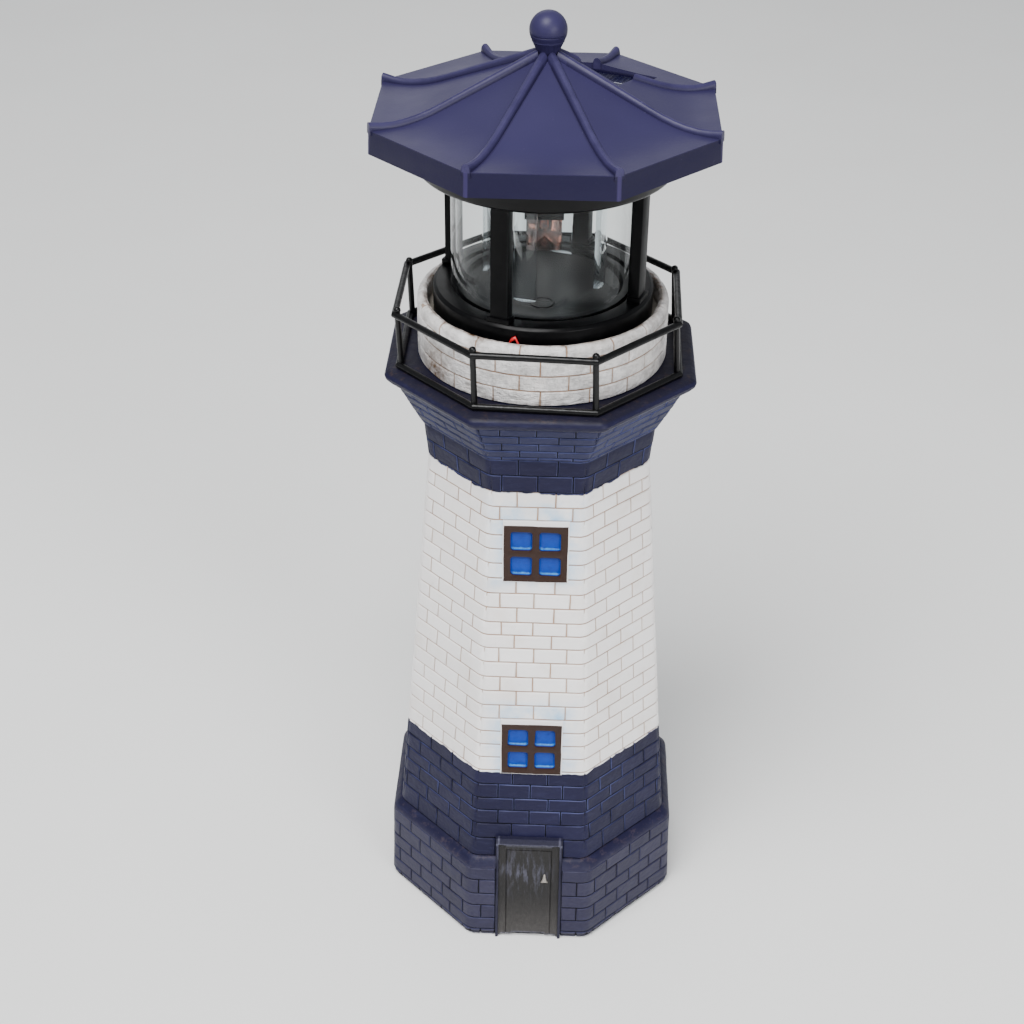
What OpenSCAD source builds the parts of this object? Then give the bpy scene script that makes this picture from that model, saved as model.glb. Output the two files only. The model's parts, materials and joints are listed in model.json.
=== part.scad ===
// Garden lighthouse lamp: a hollow cast tower that carries a solar lantern with a turning lens.
// Millimetres, +Z up, origin at the middle of the foot. The door faces -Y.
// Azimuths are measured from the front (-Y) towards +X.

/* [Tower casting] */
// Distance across the flats of the plinth
plinth_flats = 114; // [110:1:124]
// Height of the plinth up to its ledge
plinth_h = 40; // [30:1:55]
// Width of the ledge between the plinth's edge and the shaft
ledge = 4.3; // [3.5:0.1:7]
// Distance across the flats of the shaft at the top of the white brickwork
shaft_top_flats = 79.2; // [77:0.2:84]
// Height of the tapered shaft
shaft_h = 160.5; // [130:0.5:200]
// Height of the plain band under the corbel
band_h = 14; // [10:1:20]
// Height of the stepped corbel
corbel_h = 17.1; // [12:0.1:24]
// Height of the gallery's rounded edge
cornice_h = 5.4; // [4:0.1:8]
// Distance across the flats of the gallery
gallery_flats = 107.4; // [102:0.2:120]
// Height of the round parapet that holds the lantern
parapet_h = 21.5; // [18:0.5:30]
// Outer diameter of the parapet
parapet_d = 87.4; // [86.6:0.2:92]
// Depth of the seat for the lantern below the parapet's rim
seat_depth = 6.5; // [4:0.5:9]
// Corner rounding of the brickwork
corner_r = 6; // [3:0.5:10]

/* [Windows and door] */
// Side of the square window frames
window_side = 22.2; // [16:0.2:26]
// Height of the upper window's centre
upper_window_z = 176.4; // [150:0.2:185]
// Height of the lower window's centre
lower_window_z = 92; // [75:0.5:110]
// Width of a window frame's border
window_border = 2.2; // [1.5:0.1:3]
// Width of the glazing bars
window_bar = 2.4; // [1.2:0.1:3]
// Depth of the window panes below the frame
pane_depth = 1.4; // [0.8:0.1:2.5]
// Height of the door casing
door_h = 50; // [42:0.5:60]
// Width of the door casing
door_w = 25.8; // [20:0.2:32]
// Width of the door casing's edge
door_border = 1.1; // [0.8:0.1:3]
// Height of the door's lintel
door_lintel = 3; // [1.5:0.1:5]
// Height of the arched gap under the door
door_arch = 1.9; // [0.5:0.1:3]

/* [Railing] */
// Distance across the flats of the railing
rail_flats = 96; // [92:0.5:100]
// Height of the top rail's middle above the gallery floor
rail_h = 20.6; // [14:0.2:30]
// Thickness of the railing wire
rail_wire = 2.4; // [1.6:0.1:3]

/* [Lantern] */
// Diameter of the lantern base
base_d = 76; // [74:0.5:78]
// Height of the lantern base
base_h = 10.8; // [9:0.2:14]
// Outer diameter of the clear cylinder
glass_d = 63.6; // [60:0.2:65]
// Wall of the clear cylinder
glass_wall = 1.6; // [1:0.1:2.4]
// Height of the open lamp room
room_h = 42.2; // [36:0.2:60]
// Width of a lantern post
post_w = 6.3; // [4.5:0.1:8]
// Thickness of a lantern post
post_t = 4; // [3:0.1:4.4]
// Diameter of the ceiling bowl
bowl_d = 86.4; // [84:0.2:92]
// Height of the ceiling bowl
bowl_h = 11.2; // [11:0.1:14]

/* [Roof] */
// Distance across the flats of the roof
roof_flats = 111.8; // [106:0.2:130]
// Height of the straight skirt round the roof
fascia_h = 6.5; // [5:0.1:10]
// Rise of the roof from the eave to the finial
roof_rise = 18.8; // [17:0.1:26]
// Width of the flared eave
flare_w = 18; // [10:0.5:24]
// Thickness of the roof's wall
roof_wall = 1.9; // [1.4:0.1:2.6]
// Width of a roof rib
rib_w = 3.4; // [2:0.1:5]
// Height of a roof rib
rib_h = 2.5; // [1.5:0.1:4]
// Diameter of the finial's ball
ball_d = 12.3; // [9:0.1:16]

/* [Solar panel] */
// Length of the solar panel, down the roof
panel_l = 34.8; // [28:0.2:36]
// Width of the solar panel
panel_w = 43.2; // [34:0.2:44]
// Thickness of the solar panel
panel_t = 2.2; // [1.6:0.1:2.6]

/* [Beacon drive] */
// Module of the gears
gear_m = 0.5; // [0.4:0.05:0.6]
// Teeth on the lens carrier's gear
carrier_teeth = 62; // [54:2:66]
// Teeth on the small wheel of the idler
idler_small = 14; // [12:1:16]
// Teeth on the large wheel of the idler
idler_large = 40; // [30:1:44]
// Teeth on the motor pinion
pinion_teeth = 12; // [10:1:14]
// Diameter of the hollow spindle
spindle_d = 5; // [4:0.1:6]
// Diameter of the motor
motor_d = 12; // [9:0.5:13]
// Height of the motor
motor_h = 10; // [7:0.5:10.5]
// Radius at which the lens bars turn
lens_r = 20.6; // [16:0.2:24]
// Width of a lens bar
lens_w = 8; // [5:0.5:10]
// Side of the clear light block
block_side = 12; // [9:0.5:14]
// Height of the clear light block
block_h = 13.2; // [10:0.2:16]

/* [Battery and switch] */
// Room and wall of the battery housing beyond each end of the cell
drum_end = 7.2; // [7:0.1:8]
// Height of the battery housing below the lantern base
drum_drop = 28; // [26:0.5:34]
// Diameter of the battery cell
cell_d = 14.2; // [10:0.1:14.4]
// Length of the battery cell with its button
cell_l = 50.2; // [44:0.1:50.4]
// Travel of the switch
switch_travel = 2; // [1.5:0.1:3]

/* [Fits] */
// Radial clearance of a turning fit
run_gap = 0.05; // [0.03:0.01:0.1]
// Clearance of a glued or seated fit
seat_gap = 0.1; // [0.05:0.01:0.2]
// Gap between faces that pass each other
face_gap = 0.3; // [0.2:0.05:0.5]

/* [Hidden] */
$fn = 96;

corner_k = 1 / cos(22.5);          // corner radius of an octagon from its flat radius

// Heights of the tower, from the foot up
shaft_top_z = plinth_h + shaft_h;
corbel_z = shaft_top_z + band_h;
cornice_z = corbel_z + corbel_h;
deck_z = cornice_z + cornice_h;
parapet_z = deck_z + parapet_h;
seat_z = parapet_z - seat_depth;

// Flat radii of the tower
plinth_r = plinth_flats / 2;
shaft_foot_r = plinth_r - ledge;
shaft_top_r = shaft_top_flats / 2;
band_r = shaft_top_r + 1.4;
corbel_step = 0.5;
gallery_r = gallery_flats / 2;
corbel_r = gallery_r - 4;
parapet_r = parapet_d / 2;
parapet_round = 2.2;
mouth_round = 1;
shaft_taper = (shaft_foot_r - shaft_top_r) / shaft_h;
shaft_lean = atan(shaft_taper);

// Hollow inside of the tower
drum_r = cell_l / 2 + drum_end;
bore_gap = 0.9;
bore_r = drum_r + bore_gap;
foot_bore_r = shaft_foot_r - 6.5;
plinth_bore_r = plinth_r - 7.5;
mouth_gap = 2;                      // room round the lantern base, where the red lead shows
base_r = base_d / 2;
mouth_r = base_r + mouth_gap;

// Heights of the lantern
base_z = seat_z + base_h;
ceiling_z = base_z + room_h;
bowl_top_z = ceiling_z + bowl_h;
bowl_floor = 2;
bowl_floor_z = ceiling_z + bowl_floor;
drum_z = seat_z - drum_drop;
base_plate = 3.8;                   // thickness of the lantern base's top
base_under_z = base_z - base_plate;
skirt_wall = 2;
dish_depth = 1.8;
dish_r = 27.6;

// Clear cylinder and its grooves
glass_r = glass_d / 2;
glass_in_r = glass_r - glass_wall;
groove_depth = 2;
ceiling_groove = 1;

// Posts, standing on the line of every second roof corner
post_az = [-22.5, 67.5, 157.5, 247.5];
post_r = glass_r + 0.5 + post_t / 2;
post_sink = 1.4;
post_socket = 1.2;
post_foot_h = 1.8;
post_foot_extra = 0.9;
wire_way = [3.4, 2];

// Roof
eave_r = roof_flats / 2;
eave_corner = eave_r * corner_k;
fascia_z = bowl_top_z - 0.2;
eave_z = fascia_z + fascia_h;
flat_eave = 4.5;
flare_end = eave_corner - flat_eave;
flare_start = flare_end - flare_w;
neck_r = 3.8;
apex_corner = 4;
roof_slope = roof_rise / (flare_w / 2 + flare_start - apex_corner);
apex_z = eave_z + roof_rise;
tip_rise = 1.4;
ring_wall = 1.8;
ring_r = bowl_d / 2 - 0.2;
finial_peg_r = 2;
finial_peg_l = 6;

// Solar pocket, on the line of the rear right rib
panel_az = 157.5;
pocket_in = 6.7;                    // distance from the axis to the pocket's upper edge
pocket_gap = 0.5;
pocket_l = panel_l + 2 * pocket_gap;
pocket_w = panel_w + 2 * pocket_gap;
panel_top_z = eave_z - 0.8;
panel_z = panel_top_z - panel_t;
cells_t = 0.4;
tray_wall = 1.5;
tray_z = panel_z - tray_wall;

// Gear train, between the ceiling bowl and the bridge
bridge_z = bowl_floor_z + 7.6;
bridge_t = 1.6;
bridge_top_z = bridge_z + bridge_t;
bridge_r = 34.4;
pillar_r = 31;
pillar_az = [77, 197, 292];
pillar_d = 5.6;
carrier_pitch_r = gear_m * carrier_teeth / 2;
idler_small_r = gear_m * idler_small / 2;
idler_large_r = gear_m * idler_large / 2;
pinion_r = gear_m * pinion_teeth / 2;
mesh_gap = 0.06;                    // extra centre distance of each pair
idler_r = carrier_pitch_r + idler_small_r + mesh_gap;
motor_reach = idler_large_r + pinion_r + mesh_gap;
idler_az = 12.5;
motor_az = -22.5;
idler_turn = idler_az - motor_az;
motor_r = idler_r * cos(idler_turn) + sqrt(motor_reach ^ 2 - (idler_r * sin(idler_turn)) ^ 2);
carrier_gear_z = bowl_floor_z + 1.2;
carrier_gear_t = 3;
small_gear_z = bowl_floor_z + 1;
small_gear_t = 3.4;
large_gear_z = small_gear_z + small_gear_t + 0.2;
large_gear_t = 2;
pinion_z = bowl_floor_z + 4.3;
pinion_t = 2.9;
idler_pin_d = 2;
motor_shaft_d = 1.5;
motor_boss_r = 2;
carrier_hub_r = 5;
ceiling_hole_r = carrier_hub_r + 1.2;
carrier_hole_at = 10;
carrier_hole_r = 3;
bridge_hole_at = 20;
bridge_hole_r = 7.5;
bridge_hole_az = [45, 110, 157.5, 228];
bridge_screw_bite = 5;

// Lens carrier and lamp, hanging below the ceiling
disc_t = 2.2;
disc_z = ceiling_z - 4;
disc_r = lens_r + 1.6;
lens_t = 2.8;
lens_foot_gap = 3.3;
lens_az = [-17, 73, 163, 253];
spindle_r = spindle_d / 2;
spindle_wall = 1;
spindle_flange = 1.3;
holder_r = 5.6;
holder_top_z = disc_z - face_gap;
block_z = base_z + 13.5;
block_top_z = block_z + block_h;
cap_t = 3;
cap_z = block_top_z - 1.9;
led_r = 2.5;
led_rim_r = 2.9;
led_l = 8.4;

// Battery cradle, along X
drum_floor = 2;
drum_floor_z = drum_z + drum_floor;
drum_wall = 2;
cell_r = cell_d / 2;
contact_rise = 1;
cell_z = drum_floor_z + contact_rise + cell_r;
contact_t = 0.4;
contact_w = 10;
spring_l = 1.8;
cradle_wall = 1.2;
plus_x = cell_l / 2;
minus_x = -cell_l / 2 - spring_l;
button_l = 1;
button_r = 2.7;
door_plate_t = 1;
door_lip = 2;
door_open_l = cell_l + 1.4;
door_open_w = cell_d + 1.4;
door_tab_y = door_open_w / 2 + 5.4;
door_tab_r = 4.4;
screw_r = 1.3;
screw_head_r = 2.5;
screw_head_h = 1.3;
screw_gap = 0.05;
drive_slot = [2.8, 0.6, 0.6];         // length, width and depth of a cross recess
housing_screw_at = [[-20, 16], [20, 16], [-18, -17]];
housing_pillar_r = 3;
housing_screw_drop = 8;             // from the seat down to a housing screw's head
door_pillar_h = 9.5;
bite = 0.5;                         // how far joined walls run into each other
cradle_lip = 1;
switch_at = [8, -17];
switch_size = [8.6, 4.4, 4.6];
switch_nub = [2.6, 2];
switch_proud = 0.8;

// Circuit board, on the bridge beside the solar tray
board_at = [-12.6, 20.4];
board_size = [15, 19, 1.2];
board_z = bridge_top_z + 1.8;

// Red lead: out of the battery housing, past the rim of the lantern base, up the first post
lead_r = 0.65;
lead_hole_az = -5;
lead_hole_drop = 2.6;
lead_notch_az = -12;

// ---------------------------------------------------------------- helpers

// Places things at an azimuth and a distance from the axis, with -Y pointing outwards
module at_azimuth(az, r = 0) rotate([0, 0, az]) translate([0, -r, 0]) children();

// Places things along the solar panel's direction: +X runs down the roof, +Y across it
module along_panel() rotate([0, 0, panel_az - 90]) children();

function octagon_ring(r, rounding, steps = 4) = [
  for (side = [0:7]) for (k = [0:steps])
    let (
      centre = (r - rounding) * corner_k,
      mid = side * 45 - 90 + 22.5,
      turn = side * 45 - 90 + k * 45 / steps
    )
    [centre * cos(mid) + rounding * cos(turn), centre * sin(mid) + rounding * sin(turn)]
];

// Solid through rounded octagons, from stations of [height, flat radius, corner rounding]
module octagon_loft(stations, steps = 4) {
  n = 8 * (steps + 1);
  rings = len(stations);
  points = [
    for (s = stations) for (p = octagon_ring(s[1], s[2], steps)) [p[0], p[1], s[0]]
  ];
  foot = [[for (i = [0:n - 1]) i]];
  top = [[for (i = [n - 1:-1:0]) (rings - 1) * n + i]];
  walls = [
    for (k = [0:rings - 2]) for (i = [0:n - 1]) for (half = [0, 1])
      let (a = k * n + i, b = k * n + (i + 1) % n)
      half == 0 ? [a, b + n, b] : [a, a + n, b + n]
  ];
  polyhedron(points = points, faces = concat(foot, walls, top));
}

function unit(v) = v / norm(v);
function cross_side(t) = unit(cross(t, abs(t[2]) > 0.9 ? [1, 0, 0] : [0, 0, 1]));

// Round tube solid along a list of points
module swept_tube(path, r, sides = 8) {
  n = len(path);
  tangent = [for (i = [0:n - 1]) unit(path[min(i + 1, n - 1)] - path[max(i - 1, 0)])];
  frames = tube_frames(tangent);
  points = [
    for (i = [0:n - 1]) for (k = [0:sides - 1])
      let (a = 360 * k / sides, u = frames[i], v = cross(tangent[i], frames[i]))
      path[i] + r * (cos(a) * u + sin(a) * v)
  ];
  foot = [[for (k = [0:sides - 1]) k]];
  top = [[for (k = [sides - 1:-1:0]) (n - 1) * sides + k]];
  walls = [
    for (i = [0:n - 2]) for (k = [0:sides - 1]) for (half = [0, 1])
      let (a = i * sides + k, b = i * sides + (k + 1) % sides)
      half == 0 ? [a, b + sides, b] : [a, a + sides, b + sides]
  ];
  polyhedron(points = points, faces = concat(foot, walls, top));
}

// Side vectors that turn as little as possible along a path
function tube_frames(t, i = 0, found = []) =
  i == len(t) ? found :
  let (
    last = i == 0 ? cross_side(t[0]) : found[i - 1],
    flat = last - (last * t[i]) * t[i]
  )
  tube_frames(t, i + 1, concat(found, [unit(flat)]));

// Smooth curve through hand-chosen points
function spline_point(a, b, c, d, s) =
  0.5 * (2 * b + (c - a) * s + (2 * a - 5 * b + 4 * c - d) * s ^ 2 + (3 * b - a - 3 * c + d) * s ^ 3);
function smooth_path(p, spacing) = concat([
  for (i = [0:len(p) - 2])
    let (
      a = p[max(i - 1, 0)],
      d = p[min(i + 2, len(p) - 1)],
      steps = max(1, round(norm(p[i + 1] - p[i]) / spacing))
    )
    for (k = [0:steps - 1]) spline_point(a, p[i], p[i + 1], d, k / steps)
], [p[len(p) - 1]]);

// Involute spur gear outline with a tooth centred on +X
pressure_angle = 20;
function involute_turn(r, base) = let (a = acos(min(1, base / r))) tan(a) * 180 / PI - a;
function gear_flank(teeth, side) =
  let (
    pitch = gear_m * teeth / 2,
    base = pitch * cos(pressure_angle),
    root = pitch - 1.2 * gear_m,
    tip = pitch + 0.85 * gear_m,
    start = max(base, root),
    backlash = 0.1,
    half = 90 / teeth - backlash / 2 / pitch * 180 / PI + involute_turn(pitch, base),
    radii = concat(start > root ? [root] : [], [for (k = [0:4]) start + (tip - start) * k / 4])
  )
  [for (r = radii) [r, side * (half - involute_turn(max(r, base), base))]];
function reversed(list) = [for (i = [len(list) - 1:-1:0]) list[i]];
function gear_outline(teeth) = [
  for (k = [0:teeth - 1])
    for (p = concat(gear_flank(teeth, -1), reversed(gear_flank(teeth, 1))))
      let (a = k * 360 / teeth + p[1]) [p[0] * cos(a), p[0] * sin(a)]
];
module gear(teeth, t) linear_extrude(t) polygon(gear_outline(teeth));

// Direction of a point at one azimuth and radius as seen from another, as an angle from +X
function place(az, r) = [r * sin(az), -r * cos(az)];
function heading(from, to) = atan2(to[1] - from[1], to[0] - from[0]);
idler_place = place(idler_az, idler_r);
motor_place = place(motor_az, motor_r);
carrier_to_idler = heading([0, 0], idler_place);
idler_to_motor = heading(idler_place, motor_place);

module screw(length) {
  cylinder(r = screw_r, h = length);
  translate([0, 0, -screw_head_h]) cylinder(r = screw_head_r, h = screw_head_h);
}

module screw_hole(length) {
  cylinder(r = screw_r + screw_gap, h = length);
  translate([0, 0, -screw_head_h - 20]) cylinder(r = screw_head_r + screw_gap, h = 20 + screw_head_h);
}

// ---------------------------------------------------------------- tower

function shaft_r(z) = shaft_foot_r - (z - plinth_h) * shaft_taper;

function tower_stations() = [
  [0, plinth_r - 1.6, corner_r],
  [1.8, plinth_r, corner_r],
  [8, plinth_r - 0.2, corner_r],
  [plinth_h - 10, plinth_r - 0.8, corner_r],
  [plinth_h - 4.4, plinth_r - 1, corner_r],
  [plinth_h - 3, plinth_r - 1.4, corner_r],
  [plinth_h - 2, plinth_r - 2.2, corner_r],
  [plinth_h - 0.8, shaft_foot_r + 1, corner_r],
  [plinth_h, shaft_foot_r, corner_r],
  [shaft_top_z, shaft_top_r, corner_r],
  [corbel_z - 0.4, band_r, corner_r - 0.5],
  [corbel_z, band_r + corbel_step, corner_r - 0.5],
  for (k = [1:4]) [
    corbel_z + corbel_h * k / 4.6,
    band_r + corbel_step + (corbel_r - band_r - corbel_step) * (k / 4.6) ^ 0.92,
    corner_r - 0.5 - 0.2 * k
  ],
  [cornice_z, corbel_r, corner_r - 1.5],
  [cornice_z + cornice_h * 0.2, corbel_r + (gallery_r - corbel_r) * 0.62, corner_r - 1.5],
  [cornice_z + cornice_h * 0.45, gallery_r - 0.3, corner_r - 1.5],
  [cornice_z + cornice_h * 0.65, gallery_r, corner_r - 1.5],
  [cornice_z + cornice_h * 0.85, gallery_r - 0.5, corner_r - 1.7],
  [deck_z, gallery_r - 2, corner_r - 2]
];

module parapet() translate([0, 0, deck_z - 1]) rotate_extrude() {
  square([parapet_r, parapet_h + 1 - parapet_round]);
  square([parapet_r - parapet_round, parapet_h + 1]);
  translate([parapet_r - parapet_round, parapet_h + 1 - parapet_round]) circle(r = parapet_round);
}

// Everything that the casting is hollow for: the bore, the seat and the mouth
module tower_bore() rotate_extrude() polygon([
  [0, -1], [plinth_bore_r, -1], [plinth_bore_r, plinth_h - 12], [foot_bore_r, plinth_h],
  [bore_r, shaft_top_z - 6], [bore_r, seat_z], [mouth_r, seat_z], [mouth_r, parapet_z - mouth_round],
  [mouth_r + mouth_round, parapet_z], [mouth_r + mouth_round, parapet_z + 5], [0, parapet_z + 5]
]);

// Carries things to the sloping front face, with +Y pointing into the wall
module on_front(z) translate([0, -shaft_r(z), z]) rotate([-shaft_lean, 0, 0]) children();

module window_frame(z) on_front(z)
  translate([-window_side / 2, -0.8, -window_side / 2]) cube([window_side, 4, window_side]);

module window_panes(z) {
  pane = (window_side - 2 * window_border - window_bar) / 2;
  on_front(z) for (x = [-1, 1]) for (y = [-1, 1])
    translate([x * (pane + window_bar) / 2 - pane / 2, -2, y * (pane + window_bar) / 2 - pane / 2])
      cube([pane, 2 + pane_depth - 0.8, pane]);
}

door_proud = 1.7;
door_depth = 0.9;
door_stile = 2.8;
door_groove = 0.5;
knob_r = 1.7;

// A block in front of the sloping door plane, from one height to another
module door_block(w, from_z, to_z, front, back)
  on_front(plinth_h) translate([-w / 2, -door_proud + front, from_z - plinth_h])
    cube([w, back - front, to_z - from_z]);

module door_casing() intersection() {
  door_block(door_w, -1, door_h, 0, 8);
  translate([-door_w, -plinth_r - 0.2, 0]) cube([2 * door_w, plinth_r, door_h * 1.2]);
}
module door_recess() {
  w = door_w - 2 * door_border;
  top = door_h - door_lintel;
  door_block(w, -2, top, -4, door_depth);
  difference() {
    door_block(w - 2 * door_stile, -2, top - door_stile, 0, door_depth + 0.4);
    door_block(w - 2 * door_stile - 2 * door_groove, -3, top - door_stile - door_groove, -1, 4);
  }
}
module door_knob() on_front(plinth_h) translate([6.2, door_depth - door_proud + 0.2, 30.5 - plinth_h])
  rotate([90, 0, 0]) rotate([0, 0, 90]) cylinder(r = knob_r, h = 1.2, $fn = 3);

module tower_casting() color("whitesmoke") {
  difference() {
    union() {
      difference() {
        octagon_loft(tower_stations());
        door_block(door_w, -2, door_h, -9, 0.5);
      }
      parapet();
      window_frame(upper_window_z);
      window_frame(lower_window_z);
      door_casing();
    }
    tower_bore();
    window_panes(upper_window_z);
    window_panes(lower_window_z);
    door_recess();
    translate([0, -plinth_r, -40 + door_arch]) rotate([90, 0, 0]) cylinder(r = 40, h = 12, center = true);
  }
  door_knob();
}

// ---------------------------------------------------------------- railing

rail_r = rail_flats / 2;
rail_wire_r = rail_wire / 2;
rail_corner = rail_r * corner_k;
rail_low_z = deck_z + rail_wire_r;
rail_high_z = deck_z + rail_h;

// One closed octagon of wire with mitred corners
module rail_loop(z) for (side = [0:7]) at_azimuth(side * 45) translate([0, 0, z]) intersection() {
  translate([0, -rail_r, 0]) rotate([0, 90, 0]) cylinder(r = rail_wire_r, h = rail_r * 1.2, center = true);
  translate([0, 0, -5]) linear_extrude(10)
    polygon([[0, 0], [-2 * rail_r * tan(22.5), -2 * rail_r], [2 * rail_r * tan(22.5), -2 * rail_r]]);
}

module rail_top() color("black") rail_loop(rail_high_z);

module rail_bottom() color("black") rail_loop(rail_low_z);

// Upright with a rounded nub over the top rail
rail_post_r = rail_wire_r * 0.88;
rail_nub_r = rail_wire_r * 1.05;
rail_nub_z = rail_high_z - deck_z + 1.5;
module rail_post() rotate_extrude() difference() {
  union() {
    square([rail_post_r, rail_nub_z]);
    translate([0, rail_nub_z]) circle(r = rail_nub_r);
  }
  translate([-2 * rail_nub_r, -1]) square([2 * rail_nub_r, rail_nub_z + 2 * rail_nub_r + 1]);
}

// The posts are brazed into the corners of both rails
module rail_posts() color("black")
  for (side = [0:7]) at_azimuth(side * 45 + 22.5, rail_corner - 0.9) translate([0, 0, deck_z]) rail_post();

// ---------------------------------------------------------------- lantern base

base_boss_at = housing_screw_at;
base_boss_l = base_under_z - seat_z;

module lantern_base() color("black") difference() {
  union() {
    rotate_extrude() polygon([
      [0, base_under_z], [base_r - skirt_wall, base_under_z], [base_r - skirt_wall, seat_z],
      [base_r, seat_z], [base_r, base_z - 1], [base_r - 1, base_z], [glass_r + seat_gap, base_z],
      [glass_r + seat_gap, base_z - groove_depth], [glass_in_r - seat_gap, base_z - groove_depth],
      [glass_in_r - seat_gap, base_z - 0.2], [dish_r, base_z - 0.2],
      [dish_r - 1.2, base_z - dish_depth], [0, base_z - dish_depth]
    ]);
    for (p = base_boss_at) translate([p[0], p[1], seat_z])
      cylinder(r = housing_pillar_r, h = base_boss_l + bite);
    at_azimuth(0, 14.5) translate([0, 0, base_z - dish_depth - 0.1]) difference() {
      cylinder(r = 4.2, h = 0.35);
      translate([0, 0, -1]) cylinder(r = 3.5, h = 3);
    }
  }
  for (p = base_boss_at) translate([p[0], p[1], seat_z - 1])
    cylinder(r = screw_r + screw_gap, h = base_boss_l + 0.4);
  for (az = post_az) at_azimuth(az, post_r) {
    translate([0, 0, base_z - post_sink]) post_block(post_sink + 1, seat_gap / 2);
    translate([0, 0, seat_z]) wire_slot(base_h + 1);
  }
  at_azimuth(lead_notch_az, base_r) translate([-5.5, -3, seat_z - 1]) cube([11, 6, 1 + 3.4]);
}

module post_block(h, grow = 0)
  translate([-post_w / 2 - grow, -post_t / 2 - grow, 0]) cube([post_w + 2 * grow, post_t + 2 * grow, h]);

module wire_slot(h) translate([-wire_way[0] / 2, -wire_way[1] / 2, 0]) cube([wire_way[0], wire_way[1], h]);

module post(i) color("black") at_azimuth(post_az[i], post_r) difference() {
  union() {
    translate([0, 0, base_z - post_sink]) post_block(room_h + post_sink + post_socket - seat_gap);
    translate([-post_w / 2 - post_foot_extra, -post_t / 2 - post_foot_extra, base_z])
      cube([post_w + 2 * post_foot_extra, post_t + post_foot_extra, post_foot_h]);
  }
  translate([0, 0, base_z - post_sink - 1]) wire_slot(room_h + post_sink + post_socket + 2);
}

module post_1() post(0);
module post_2() post(1);
module post_3() post(2);
module post_4() post(3);

module lantern_glass() color("azure", 0.35)
  translate([0, 0, base_z - groove_depth]) difference() {
    h = room_h + groove_depth + ceiling_groove - seat_gap;
    cylinder(r = glass_r, h = h);
    translate([0, 0, -1]) cylinder(r = glass_in_r, h = h + 2);
  }

// ---------------------------------------------------------------- battery housing

drum_h = base_under_z - drum_z;

module battery_housing() color("dimgray") difference() {
  union() {
    difference() {
      translate([0, 0, drum_z]) cylinder(r = drum_r, h = drum_h);
      translate([0, 0, drum_floor_z]) cylinder(r = drum_r - drum_wall, h = drum_h);
    }
    for (p = housing_screw_at) translate([p[0], p[1], drum_floor_z - bite])
      cylinder(r = housing_pillar_r, h = seat_z - drum_floor_z + bite);
    for (x = [plus_x + contact_t, minus_x - contact_t - cradle_wall])
      translate([x, -contact_w / 2 - cradle_lip, drum_floor_z - bite])
        cube([cradle_wall, contact_w + 2 * cradle_lip, cell_d + contact_rise + bite]);
    translate([0, door_tab_y, drum_floor_z - bite]) cylinder(r = screw_r + 1.6, h = door_pillar_h + bite);
  }
  for (p = housing_screw_at) translate([p[0], p[1], seat_z - housing_screw_drop])
    screw_hole(2.5 * housing_screw_drop);
  translate([-door_open_l / 2, -door_open_w / 2, drum_z - 1])
    cube([door_open_l, door_open_w, drum_floor + 1.01]);
  translate([0, 0, drum_z - 1]) door_outline(1 + door_plate_t, seat_gap);
  translate([0, door_tab_y, drum_z]) cylinder(r = screw_r + screw_gap, h = 10);
  translate([switch_at[0], switch_at[1], drum_z - 1]) {
    slot = [switch_nub[0] + switch_travel + 0.6, switch_nub[1] + 0.4];
    translate([-slot[0] / 2, -slot[1] / 2, 0]) cube([slot[0], slot[1], drum_floor + 2]);
  }
  at_azimuth(lead_hole_az, drum_r) translate([0, 0, base_under_z - lead_hole_drop])
    rotate([90, 0, 0]) cylinder(r = lead_r + 0.4, h = 8, center = true);
}

module door_outline(h, grow = 0) {
  l = door_open_l + 2 * door_lip + 2 * grow;
  w = door_open_w + 2 * door_lip + 2 * grow;
  translate([-l / 2, -w / 2, 0]) cube([l, w, h]);
  translate([0, door_tab_y, 0]) cylinder(r = door_tab_r + grow, h = h);
}

module battery_door() color("dimgray") difference() {
  union() {
    translate([0, 0, drum_z]) door_outline(door_plate_t - seat_gap);
    translate([-door_open_l / 2 + 0.3, -door_open_w / 2 + 0.3, drum_z])
      cube([door_open_l - 0.6, door_open_w - 0.6, drum_floor]);
  }
  translate([0, door_tab_y, drum_z - 1]) cylinder(r = screw_r + screw_gap, h = 4);
  for (x = [-3:3]) translate([x * 3 - 0.5, -door_open_w / 2 + 2, drum_z - 1]) cube([1, 5, 1.4]);
}

module door_screw() color("silver") translate([0, door_tab_y, drum_z]) difference() {
  screw(8);
  translate([0, 0, -screw_head_h - 0.1]) cross_slot();
}

module cross_slot() for (turn = [0, 90]) rotate([0, 0, turn])
  translate([-drive_slot[0] / 2, -drive_slot[1] / 2, 0])
    cube([drive_slot[0], drive_slot[1], drive_slot[2] + 0.1]);

module housing_screws() color("silver") for (p = housing_screw_at)
  translate([p[0], p[1], seat_z - housing_screw_drop]) difference() {
    screw(housing_screw_drop + base_boss_l - 1);
    translate([0, 0, -screw_head_h - 0.1]) cross_slot();
  }

module battery_cell() color("seagreen") translate([0, 0, cell_z]) rotate([0, 90, 0]) {
  translate([0, 0, -cell_l / 2]) cylinder(r = cell_r, h = cell_l - button_l - 0.8);
  translate([0, 0, cell_l / 2 - button_l - 0.9]) cylinder(r = cell_r - 2, h = 0.9);
  translate([0, 0, cell_l / 2 - button_l - 0.1]) cylinder(r = button_r, h = button_l + 0.1);
}

module contact_plate(x) translate([x, -contact_w / 2, drum_floor_z + contact_rise])
  cube([contact_t, contact_w, cell_d]);
module positive_contact() color("gold") contact_plate(plus_x);
module negative_contact() color("gold") contact_plate(minus_x - contact_t);

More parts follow.
